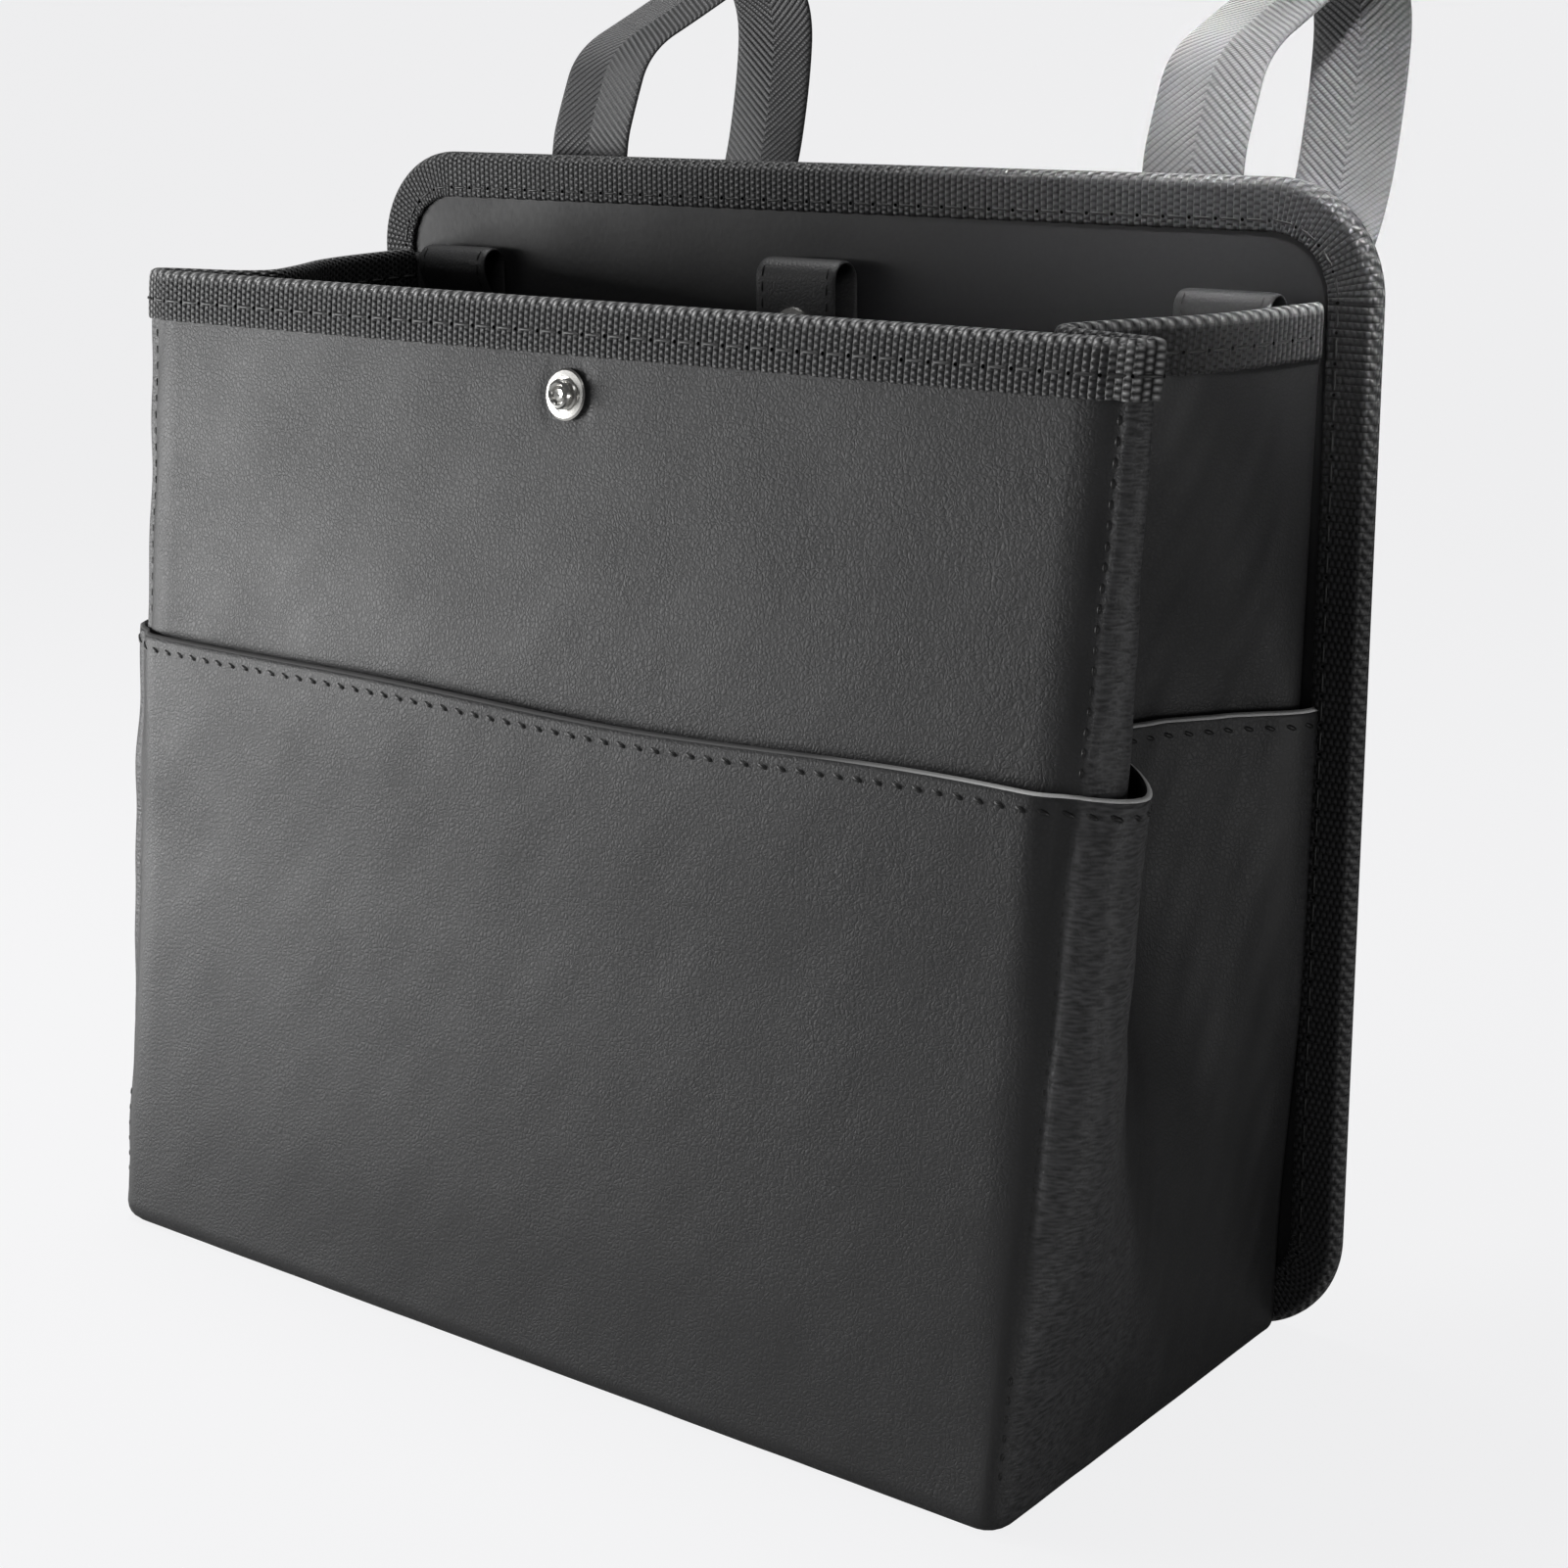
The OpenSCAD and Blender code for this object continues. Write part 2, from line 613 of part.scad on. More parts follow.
back_face_leather();
back_board();
back_rear_leather();
back_binding();
body_sheet();
front_board();
front_lining();
rim_binding();
pocket_sheet();
base_leather();
base_board();
base_lining();
front_snap_stud();
front_snap_post();
loop_tab_left();
loop_tab_right();
closing_strap();
closing_snap_cap();
closing_snap_socket();
strap_left();
strap_right();
short_strap_left();
short_strap_right();
buckle_male_left();
buckle_male_right();
buckle_female_left();
buckle_female_right();
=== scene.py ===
# %% [markdown]
# # A folding leather bin for the back of a seat
# The bin is sewn from one folded leather sheet, a second sheet that makes the pocket,
# a stiff back panel, and webbing that binds every edge. This lesson dresses its solid model:
# each soft piece is worked out again as a fine surface, with the same sizes and folds.

# %% Load the part
import json
import math
import bpy
import numpy as np
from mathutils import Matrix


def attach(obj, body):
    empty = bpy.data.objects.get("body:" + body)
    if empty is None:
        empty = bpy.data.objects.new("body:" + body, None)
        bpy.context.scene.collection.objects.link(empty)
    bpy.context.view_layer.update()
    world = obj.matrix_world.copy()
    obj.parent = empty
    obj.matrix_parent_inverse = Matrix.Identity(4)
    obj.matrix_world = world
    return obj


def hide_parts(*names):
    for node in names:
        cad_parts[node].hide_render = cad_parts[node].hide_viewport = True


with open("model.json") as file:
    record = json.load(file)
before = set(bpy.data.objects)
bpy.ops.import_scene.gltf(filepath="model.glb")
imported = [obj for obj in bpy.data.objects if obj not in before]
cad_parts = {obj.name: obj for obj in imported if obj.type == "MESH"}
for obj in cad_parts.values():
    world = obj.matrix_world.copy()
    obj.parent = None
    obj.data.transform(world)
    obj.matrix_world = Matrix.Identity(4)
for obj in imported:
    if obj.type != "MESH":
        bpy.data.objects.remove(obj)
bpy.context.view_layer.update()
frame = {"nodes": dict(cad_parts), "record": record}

MM = 0.001


def put(name, data):
    """A new object in the scene."""
    made = bpy.data.objects.new(name, data)
    bpy.context.scene.collection.objects.link(made)
    return made


print("nodes:", len(frame["nodes"]))

# %% [markdown]
# ## Camera
# The photograph was taken from the front right and a little above. The camera's place and
# angles were solved from the bin's corners, so the pieces fall where the photograph has them.
# A long lens from about 0.8 m keeps the mild perspective.

# %% Camera
camera_data = bpy.data.cameras.new("view")
camera_data.lens = 66.82
camera_data.sensor_width = 36.0
camera_data.clip_start = 0.05
camera = put("view", camera_data)
camera.location = (0.47225, -0.54788, 0.32615)
camera.rotation_euler = [math.radians(a) for a in (75.211, 0.428, 38.259)]
bpy.context.scene.camera = camera
print("camera at", tuple(round(v, 3) for v in camera.location))

# %% [markdown]
# ## Light
# Charcoal leather shows its form by soft reflections more than by its colour. A broad low
# lamp at the left stands a little further out than the front's mirror direction, which gives
# the front its long gradient from pale to dark. One lamp from above lights the folded edges.
# Weak ones from the front, the right and the left keep the grain, the gusset and the snap
# readable, and a narrow one brightens the right strap and the edges near it.

# %% Lamps and world
def soft_lamp(name, place, aim, size, power):
    """A square area lamp at place, turned so that it faces the point aim."""
    data = bpy.data.lights.new(name, "AREA")
    data.size = size
    data.energy = power
    lamp = put(name, data)
    lamp.location = place
    way = np.array(aim, float) - np.array(place, float)
    flat = math.hypot(way[0], way[1])
    lamp.rotation_euler = (math.atan2(flat, -way[2]), 0.0, math.atan2(-way[0], way[1]))
    return lamp


soft_lamp("left_lamp", (-0.88, -0.49, 0.09), (-0.10, -0.04, 0.08), 0.5, 11.8)
soft_lamp("top_lamp", (-0.25, 0.07, 0.98), (0.08, 0.0, 0.26), 0.26, 3.4)
soft_lamp("fill_lamp", (0.35, -0.75, 0.95), (0.05, 0.0, 0.16), 0.3, 0.6)
soft_lamp("right_lamp", (1.10, -0.22, 0.10), (0.15, 0.0, 0.14), 0.24, 1.4)
soft_lamp("snap_lamp", (-0.68, -0.78, 0.31), (0.0, -0.03, 0.24), 0.34, 0.7)
accent = soft_lamp("strap_lamp", (0.75, -0.45, 0.95), (0.132, 0.095, 0.314), 0.08, 0.21)
accent.data.spread = math.radians(9.0)
world = bpy.data.worlds.new("room")
world.use_nodes = True
world.node_tree.nodes["Background"].inputs["Color"].default_value = (0.80, 0.80, 0.81, 1.0)
world.node_tree.nodes["Background"].inputs["Strength"].default_value = 0.10
bpy.context.scene.world = world
bpy.context.scene.view_settings.view_transform = "Standard"
print("lamps:", len(bpy.data.lights))

# %% [markdown]
# ## Writing shader maths as plain expressions
# A material is a network of small nodes. Wrapping a socket in a class that knows how to add,
# multiply and so on lets a formula be written as a formula, and each step adds its own node.

# %% Expression helper
class Value:
    """A number that varies over a surface: one output socket, with arithmetic."""

    def __init__(self, finish, socket):
        self.finish, self.socket = finish, socket

    def math(self, operation, *others):
        return self.finish.node("ShaderNodeMath", {"operation": operation}, [self, *others])

    def __add__(self, other):
        return self.math("ADD", other)

    __radd__ = __add__

    def __mul__(self, other):
        return self.math("MULTIPLY", other)

    __rmul__ = __mul__

    def __sub__(self, other):
        return self.math("SUBTRACT", other)

    def __rsub__(self, other):
        return self.finish.node("ShaderNodeMath", {"operation": "SUBTRACT"}, [other, self])

    def __truediv__(self, other):
        return self.math("DIVIDE", other)

    def __pow__(self, other):
        return self.math("POWER", other)

    def sin(self):
        return self.math("SINE")

    def abs(self):
        return self.math("ABSOLUTE")

    def floor(self):
        return self.math("FLOOR")

    def fract(self):
        return self.math("FRACT")

    def least(self, other):
        return self.math("MINIMUM", other)

    def most(self, other):
        return self.math("MAXIMUM", other)


class Finish:
    """A material under construction, with one method that adds any node."""

    def __init__(self, name):
        self.material = bpy.data.materials.new(name)
        self.material.use_nodes = True
        self.tree = self.material.node_tree
        self.shader = self.tree.nodes["Principled BSDF"]

    def node(self, kind, settings=None, inputs=(), output=0):
        """Adds a node: its settings first, then a value or a link for each named input."""
        made = self.tree.nodes.new(kind)
        for key, value in (settings or {}).items():
            setattr(made, key, value)
        pairs = inputs.items() if isinstance(inputs, dict) else enumerate(inputs)
        for key, value in pairs:
            self.feed(made.inputs[key], value)
        return Value(self, made.outputs[output])

    def feed(self, socket, value):
        """Links a Value, or sets a plain number or colour."""
        if isinstance(value, Value):
            self.tree.links.new(value.socket, socket)
        elif isinstance(value, (tuple, list)) and len(value) == 3 and socket.type == "RGBA":
            socket.default_value = (*value, 1.0)
        else:
            socket.default_value = value

    def set(self, **values):
        """Sets the shader's own sockets, with spaces written as underscores."""
        for key, value in values.items():
            self.feed(self.shader.inputs[key.replace("_", " ")], value)

    def place(self):
        return self.node("ShaderNodeTexCoord", output="Object")

    def noise(self, scale, detail=2.0, where=None):
        return self.node("ShaderNodeTexNoise", {}, {
            "Vector": where or self.place(), "Scale": scale, "Detail": detail})

    def blend(self, amount, low, high):
        """A colour between low and high, by an amount from 0 to 1."""
        return self.node("ShaderNodeMix", {"data_type": "RGBA"}, {0: amount, 6: low, 7: high}, 2)

    def bump(self, height, distance, strength=1.0):
        return self.node("ShaderNodeBump", {}, {
            "Height": height, "Distance": distance, "Strength": strength})

    def parts(self, vector):
        """The three numbers of a vector."""
        split = self.tree.nodes.new("ShaderNodeSeparateXYZ")
        self.feed(split.inputs[0], vector)
        return [Value(self, socket) for socket in split.outputs]

    def axes(self):
        """Object coordinates in metres, one by one."""
        return self.parts(self.place())

    def along(self):
        """The piece's own two lengths in metres: along it, and across it."""
        return self.parts(self.node("ShaderNodeUVMap", {"uv_map": "lengths"}))[:2]

    def stretched(self, where, factors):
        """A vector with each of its numbers multiplied by a factor."""
        return self.node("ShaderNodeVectorMath", {"operation": "MULTIPLY"},
                         {0: where, 1: factors})


# %% [markdown]
# ## Leather
# The sheet is a coated leather with a small pebble grain: rounded cells about a millimetre
# across, parted by fine creases. Cell edges from a Voronoi pattern give the creases, a fine
# noise bends them so that no cell is regular, and a wider noise varies the height and the
# gloss, as handling does. The coating gives a satin reflection.

# %% Leather finish
def leather(name, colour, cell=1.15, depth=0.00020, gloss=0.45, bag=False):
    """Relief on the bag: the distance to a cell's edge, softened, times a slow unevenness.
    Longer upright creases lie over it, at the middle value of a stretched noise, and the
    narrow strip behind each front corner is wrinkled across. Elsewhere one noise is enough."""
    f = Finish(name)
    slow = f.noise(38.0, 1.0)
    if bag:
        bend = f.noise(420.0, 0.0)
        where = f.node("ShaderNodeVectorMath", {"operation": "MULTIPLY_ADD"}, {
            0: bend, 1: (0.0013, -0.0013, 0.0013), 2: f.place()})
        cells = f.node("ShaderNodeTexVoronoi", {"feature": "DISTANCE_TO_EDGE"}, {
            "Vector": where, "Scale": 1000.0 / cell})
        rise = (cells * 2.6).least(1.0) ** 0.6
    else:
        rise = f.noise(1000.0 / cell, 1.0)
    grain = rise * (0.55 + slow * 0.7)
    # Painted shade: the tone follows the cell height, so the creases between cells are darker; the
    # slow noise adds uneven tone.
    tone = rise * 0.55 + slow * 0.45
    if bag:
        x, _, z = f.axes()
        long = f.noise(360.0, 0.0, f.stretched(where, (1.0, 1.0, 0.6)))
        creases = (((long - 0.5).abs() * 7.0).least(1.0)) ** 0.8
        grain = grain + creases * (slow * 1.5 - 0.5).most(0.0) * (0.55 + x * 5.0).most(0.32)
        half = 0.1480 + z * 0.0211
        strip = ((x.abs() - half + 0.0006) / 0.0018).most(0.0).least(1.0)
        groove = 1 - ((x.abs() - half + 0.0032) / 0.0032).abs().least(1.0)
        wrinkle = f.noise(1.0, 0.0, f.stretched(f.place(), (420.0, 420.0, 1500.0)))
        grain = grain * (1 - groove * 0.8) + strip * wrinkle * 3.6
        # Painted shade: the tone is darker in the groove where the thread pulls the corner in.
        tone = tone * (1 - groove * 0.6)
    light = tuple(1.22 * c for c in colour)
    dark = tuple(0.66 * c for c in colour)
    base = f.blend(tone, dark, light)
    if bag:
        # Painted light: on the strip behind each front corner the colour rises to a paler grey
        # along the wrinkles, as light falls on that strip.
        base = f.blend(strip * (wrinkle * 1.9 - 0.45).most(0.0).least(1.0), base,
                       tuple(2.7 * c for c in colour))
    f.set(Base_Color=base,
          Roughness=gloss + 0.10 * slow + 0.06 * (1 - rise),
          Normal=f.bump(grain, depth, 0.8), IOR=1.48, Specular_IOR_Level=0.5)
    return f.material


charcoal = leather("charcoal_leather", (0.029, 0.029, 0.030), depth=0.00008, bag=True)
# Painted shade: a darker copy of the same charcoal leather for the solids' flat leather faces,
# which show inside the bin where shade falls.
charcoal_shaded = leather("charcoal_leather_shaded", (0.009, 0.009, 0.010), 1.4, 0.00009, 0.52)
print("leathers:", charcoal.name, charcoal_shaded.name)

# %% [markdown]
# ## Ribbed binding webbing
# The binding is a grosgrain: fat ribs run across the band, and the fine yarn that wraps them
# shows as rows of small knots, shifted by half a step from one rib to the next. Both come
# from sines of the band's own lengths, which its surface carries as a UV map in metres.

# %% Binding finish
def ribbed(name, colour, fold, painted_light, depth=0.0006, corner=None, rib=1.8, knot=1.7):
    """Height: |sin| of the length over the rib pitch, times knots staggered rib by rib. Along
    the fold, given as its distance across the band, slanting cords get painted glints, and
    near two corners, given by their middle and their distance from it, the knots get
    painted highlights."""
    f = Finish(name)
    along, across = f.along()
    step = along / (rib * MM)
    odd = (step.floor() * 0.5).fract()
    ribs = (step * math.pi).sin().abs()
    knots = ((across / (knot * MM) + odd) * math.pi).sin().abs()
    height = (ribs ** 0.6) * (0.35 + 0.65 * knots)
    wear = f.noise(60.0, 3.0)
    # Painted highlight: slanting glints along the crown of the fold, painted in a pale grey.
    crest = (1 - (across - float(fold) * MM).abs() / (2.6 * MM)).most(0.0)
    slant = ((along + across * 0.9) / (3.6 * MM) * math.pi).sin().abs()
    painted_glint = (crest * 1.8).least(1.0) * (slant ** 2.2) * (0.35 + 0.65 * height)
    # Painted shade: the colour follows the rib height, so the crowns are pale and the gaps between
    # ribs dark; the wear noise varies it unevenly.
    band = f.blend((height ** 2.6) * (0.5 + 0.5 * wear), tuple(0.12 * c for c in colour),
                   tuple(4.0 * c for c in colour))
    # Painted highlights: near two corners the knot crowns are painted pale too.
    if corner:
        middle, away = corner
        near = 1 - (((along - middle * MM).abs() - away * MM).abs() / 0.0075).least(1.0)
        painted_glint = painted_glint.most((near * 2.0).least(1.0) * height ** 2.6 * 0.75)
    f.set(Base_Color=f.blend(painted_glint, band, (painted_light, painted_light, painted_light)),
          Roughness=0.38 + 0.2 * wear - 0.12 * painted_glint, Normal=f.bump(height + painted_glint, depth, 1.0),
          Sheen_Weight=0.15, Sheen_Roughness=0.4)
    return f.material


BLACK_YARN = (0.010, 0.010, 0.011)

# %% [markdown]
# ## Herringbone strap webbing
# The straps are woven in a chevron: slanting cords that meet at the middle line of the strap.
# The distance from that line, added to the length, slants the cords one way in the left half
# and the other way in the right half.

# %% Strap finish
def herringbone(name, colour, lane=14.0, cord=2.1, depth=0.0004):
    """Height: |sin| of (length + width folded into lanes) over the cord's pitch."""
    f = Finish(name)
    along, across = f.along()
    lanes = (across - lane * MM).abs()
    cords = ((along + lanes * 0.85) / (cord * MM) * math.pi).sin().abs()
    knots = ((along - lanes * 0.6) / (0.5 * cord * MM) * math.pi).sin().abs()
    edge = 1 - (lanes / (lane * MM)) ** 24.0 * 0.6
    height = (cords ** 0.7) * (0.8 + 0.2 * knots) * edge
    wear = f.noise(90.0, 2.0)
    light = tuple(2.0 * c for c in colour)
    # Painted shade: the cord crowns are lighter and the hollows between cords darker, by the
    # height; the wear noise adds uneven tone.
    f.set(Base_Color=f.blend((height ** 1.5) * (0.7 + 0.3 * wear),
                             tuple(0.35 * c for c in colour), light),
          Roughness=0.5, Normal=f.bump(height, depth, 1.0), Sheen_Weight=0.3,
          Sheen_Roughness=0.35)
    return f.material


strap_weave = herringbone("strap_webbing", (0.060, 0.060, 0.062))
print("strap nodes:", len(strap_weave.node_tree.nodes))

# %% [markdown]
# ## The small finishes
# Sewing thread is dark and slightly shiny. The snaps are nickel plate, their tone and
# roughness a little uneven by a fine noise. The buckles are moulded plastic with a fine spark
# texture. The boards and the lining hardly show, but they get a fibre and a weave.

# %% Thread, nickel, plastic, board and lining
def speckled(name, noise, dark, light, roughness, relief=None, uneven=0.0, **more):
    """A colour between dark and light by one noise, given as scale and detail. The relief is
    a noise, a depth and a strength, and shares the colour's noise where its own is None. The
    roughness rises with the noise by the amount uneven."""
    f = Finish(name)
    speck = f.noise(*noise)
    f.set(Base_Color=f.blend(speck, dark, light),
          Roughness=roughness + uneven * speck if uneven else roughness, **more)
    if relief:
        own, depth, strength = relief
        f.set(Normal=f.bump(f.noise(*own) if own else speck, depth, strength))
    return f.material


def lining_finish():
    """Plain weave: the larger of two sines of the object's own coordinates."""
    f = Finish("woven_lining")
    x, y, z = f.axes()
    warp = (x * (math.pi / 0.0006)).sin().abs()
    weft = ((z + y) * (math.pi / 0.0006)).sin().abs()
    height = warp.most(weft)
    # Painted shade: the weave's crossings are lighter and its hollows darker, by the height.
    f.set(Base_Color=f.blend(height, (0.012, 0.012, 0.013), (0.034, 0.034, 0.036)),
          Roughness=0.7, Normal=f.bump(height, 0.0001, 0.7), Sheen_Weight=0.2)
    return f.material


thread, grey_thread = [
    speckled(name, (900.0,), (dark,) * 3, (light,) * 3, 0.45, ((2500.0, 1.0), 0.00006, 0.6))
    for name, dark, light in (("sewing_thread", 0.004, 0.014),
                              ("sewing_thread_grey", 0.025, 0.060))]
# Painted shade: near-black domes stand at each needle hole, where there is only shade.
painted_hole_shade = speckled("needle_hole", (800.0,), (0.001,) * 3, (0.003,) * 3, 0.9,
                     Specular_IOR_Level=0.0)
nickel = speckled("nickel_plate", (700.0, 4.0), (0.56, 0.55, 0.53), (0.74, 0.73, 0.70), 0.16,
                  ((1800.0, 2.0), 0.00002, 0.3), 0.16, Metallic=1.0)
plastic = speckled("buckle_plastic", (1500.0, 3.0), (0.010, 0.010, 0.011),
                   (0.024, 0.024, 0.025), 0.42, (None, 0.00006, 0.5), 0.12)
board = speckled("stiffener_board", (500.0, 5.0), (0.20, 0.17, 0.13), (0.36, 0.31, 0.24), 0.85,
                 (None, 0.0001, 0.5))
lining = lining_finish()
finish_of = {"leather": charcoal_shaded, "lining": lining, "board": board, "binding": lining,
             "strap_webbing": strap_weave, "buckle_plastic": plastic, "nickel": nickel}
print("slots with a finish:", len(finish_of))

# %% [markdown]
# ## From a grid of points to a closed sheet
# Every soft piece here is a sheet with two sides. Two grids of points of the same shape, the
# outer side and the inner side, are joined along their four borders, which makes a closed
# skin with its faces outwards. Sizes are in millimetres until the mesh is written.

# %% Mesh helpers
def write_mesh(name, points, faces, finish, slot, uv=None, smooth=True):
    """Points in millimetres and quads into a mesh object that rides on the body."""
    mesh = bpy.data.meshes.new(name)
    mesh.from_pydata((points * MM).tolist(), [], faces.tolist())
    if uv is not None:
        layer = mesh.uv_layers.new(name="lengths")
        corner = np.empty(len(mesh.loops), dtype=np.int32)
        mesh.loops.foreach_get("vertex_index", corner)
        layer.data.foreach_set("uv", (uv * MM)[corner].astype(np.float32).ravel())
    mesh.polygons.foreach_set("use_smooth", np.full(len(mesh.polygons), smooth))
    mesh.materials.append(finish)
    piece = put(name, mesh)
    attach(piece, "root")
    return piece


def quads(index):
    """Quads of a grid of point numbers, row by row."""
    return np.stack([index[:-1, :-1], index[1:, :-1], index[1:, 1:], index[:-1, 1:]],
                    axis=-1).reshape(-1, 4)


def closed_sheet(name, outer, inner, finish, slot, uv):
    """Outer and inner grids, both (rows, columns, 3), closed along their four borders."""
    n, m = outer.shape[:2]
    a = np.arange(n * m).reshape(n, m)
    b = a + n * m
    rim = [np.stack([a[0], b[0]]), np.stack([b[-1], a[-1]]),
           np.stack([b[:, 0], a[:, 0]]), np.stack([a[:, -1], b[:, -1]])]
    faces = np.concatenate([quads(a), quads(b[:, ::-1])] + [quads(r)[:, ::-1] for r in rim])
    points = np.concatenate([outer.reshape(-1, 3), inner.reshape(-1, 3)])
    lengths = np.concatenate([uv.reshape(-1, 2)] * 2)
    piece = write_mesh(name, points, faces, finish, slot, lengths)
    turned = outward(piece)
    print(f"{name}: {len(faces)} faces, turned {turned}")
    return piece


def outward(piece):
    """Flips the whole mesh if its signed volume is negative."""
    mesh = piece.data
    mesh.calc_loop_triangles()
    co = np.empty(len(mesh.vertices) * 3)
    mesh.vertices.foreach_get("co", co)
    tri = np.empty(len(mesh.loop_triangles) * 3, dtype=np.int32)
    mesh.loop_triangles.foreach_get("vertices", tri)
    p = co.reshape(-1, 3)[tri.reshape(-1, 3)]
    volume = np.einsum("ij,ij->i", p[:, 0], np.cross(p[:, 1], p[:, 2])).sum() / 6
    if volume < 0:
        mesh.flip_normals()
    return volume < 0


def run_along(line):
    """The length run so far at each point of a line."""
    return np.concatenate([[0], np.cumsum(np.linalg.norm(np.diff(line, axis=0), axis=1))])


def follow(values, run, where):
    """The values at other places of the run, straight between the given ones."""
    return np.stack([np.interp(where, run, column) for column in values.T], -1)


def ramp(a, b, x):
    """Smooth step: 0 below a, 1 above b, 3t2 - 2t3 between."""
    t = np.clip((x - a) / (b - a), 0, 1)
    return t * t * (3 - 2 * t)


def ripple(x, y, seed, size):
    """Smooth unevenness from -1 to 1: a sum of six sines that cross at fixed odd angles."""
    turn = np.random.default_rng(seed).uniform(0, 2 * math.pi, (6, 2))
    angle, phase = turn[:, 0], turn[:, 1]
    pitch = size * np.array([1.0, 1.31, 0.77, 1.9, 0.61, 1.53])
    total = sum(np.sin((x * math.cos(a) + y * math.sin(a)) * 2 * math.pi / p + q)
                for a, p, q in zip(angle, pitch, phase))
    return total / 3.2


# %% [markdown]
# ## The folded body
# Seen from above, the bag is one line: from the back panel along the left gusset, round the
# front, and back along the right gusset. At the base that line is a plain U. Towards the rim
# the side folds outwards in a narrow strip just behind the front corner, turns back behind
# the front into a deep inward fold, and runs out again to its seam. A few named points move
# from the flat side to the folded side as the height grows, and corner cutting, done again
# and again, rounds the line through them. A simulation could crumple the sheet, but the
# folds of stiff leather are set by the sewing, so the direct construction is truer here.

# %% Sizes of the bag, in millimetres
rim_h, front_w, front_taper, base_d, front_lean = 260.0, 307.0, 11.0, 130.0, 34.0
leather_t, strip_w, valley_in, base_round, corner_dip = 1.2, 10.0, 29.0, 5.0, 2.2
valley_back_rim, valley_back_mid = 14.0, 52.0
fold_start_h, fold_full_h = 22.0, 150.0
back_rise, back_over, back_r, face_t, back_board_t = 29.0, 8.5, 28.0, 1.0, 2.4
bind_w, bind_t, fit = 12.5, 1.0, 0.3
pocket_h, pocket_gap, snap_h = 165.0, 3.2, 239.0
front_board_t, lining_t = 2.0, 0.8
stack_t = leather_t + front_board_t + lining_t
back_y = base_d / 2
panel_w, panel_h = front_w + 2 * back_over, rim_h + back_rise
rear_y = back_y + 2 * face_t + back_board_t
seam_top = panel_w / 2 - bind_w - 0.8
seam_base = min(seam_top - 3, (front_w - front_taper) / 2 - 4)
lean = front_lean / rim_h


def front_y(z):
    return -base_d / 2 + lean * z


def front_half(z):
    return (front_w - front_taper * (1 - z / rim_h)) / 2


# %% [markdown]
# The plan line of a height starts as a few named points. Cutting its corners four times gives
# a curve as smooth as a spline's, and it needs no curve object. Every height has the same
# stations along the line, so the quads run straight up and down the bag.

# %% Plan lines of the bag
def edge_in(z):
    """How far the sheet turns in round the bottom edge: a quarter circle."""
    rest = np.maximum(base_round - z, 0)
    return base_round - np.sqrt(base_round ** 2 - rest ** 2)


def side_points(z):
    """For each height, eight plan points from the front corner to the seam."""
    e = edge_in(z)
    corner = np.stack([front_half(z) - e, front_y(z) + e], -1)
    low = 1 - ramp(bind_w + 1, bind_w + 7, z)
    seam = np.stack([seam_base + (seam_top - seam_base) * z / rim_h - e,
                     back_y - (bind_t + 0.5) * low], -1)
    k = ramp(fold_start_h, fold_full_h, z)[:, None]
    strip = ramp(0, fold_full_h * 0.6, z)[:, None]
    up = ramp(pocket_h - 10, rim_h - 10, z)[:, None]
    at = [0.09, 0.17, 0.5, 0.66, 0.84]
    mid = np.array([[0.27 * strip_w, 0.4 * strip_w], [0.85 * strip_w, 1.4 * strip_w],
                    [-valley_in - 2, valley_back_mid], [-valley_in, valley_back_mid + 19],
                    [-valley_in / 2, valley_back_mid + 42]])
    rim = np.array([[0.26 * strip_w, 0.32 * strip_w], [0.66 * strip_w, 0.84 * strip_w],
                    [-valley_in, valley_back_rim], [-valley_in + 6, valley_back_rim + 17],
                    [-valley_in / 3, valley_back_rim + 40]])
    inner = [(corner * (1 - a) + seam * a) * (1 - w) + (corner + m * (1 - up) + r * up) * w
             for a, m, r, w in zip(at, mid, rim, [strip, strip, k, k, k])]
    return [corner + np.array([-1.0, corner_dip]) * strip, *inner, seam - [0, 5], seam]


def cut(p):
    """One round of corner cutting on lines p of shape (rows, points, 2)."""
    a, b = 0.75 * p[:, :-1] + 0.25 * p[:, 1:], 0.25 * p[:, :-1] + 0.75 * p[:, 1:]
    middle = np.stack([a, b], 2).reshape(len(p), -1, 2)
    return np.concatenate([p[:, :1], middle, p[:, -1:]], 1)


def plan_lines(z, tail):
    """Whole plan lines at heights z: a positive tail is the seam allowance that turns in,
    a negative one stops the line short of the back panel."""
    r = side_points(z)
    if tail > 0:
        end = [r[7], r[7] - np.stack([np.full_like(z, tail), np.zeros_like(z)], -1)]
    else:
        end = [np.stack([r[7][:, 0], np.full_like(z, back_y + tail)], -1)]
    x, y = front_half(z) - edge_in(z), front_y(z) + edge_in(z)
    right = [np.stack([x - 16, y], -1), np.stack([x - 8, y], -1), *r[:7], *end]
    left = [q * [-1, 1] for q in right[::-1]]
    middle = np.stack([np.zeros_like(z), y], -1)
    p = cut(cut(np.stack([*left, middle, *right], 1)))
    return cut(cut(p))


def evenly(p, columns):
    """The same stations on every row, spaced evenly along the mean line."""
    step = np.linalg.norm(np.diff(p, axis=1), axis=2).mean(0)
    run = np.concatenate([[0], np.cumsum(step)])
    t = np.interp(np.linspace(0, run[-1], columns), run, np.arange(p.shape[1]))
    i = np.minimum(t.astype(int), p.shape[1] - 2)
    w = (t - i)[None, :, None]
    return p[:, i] * (1 - w) + p[:, i + 1] * w, np.linspace(0, run[-1], columns)


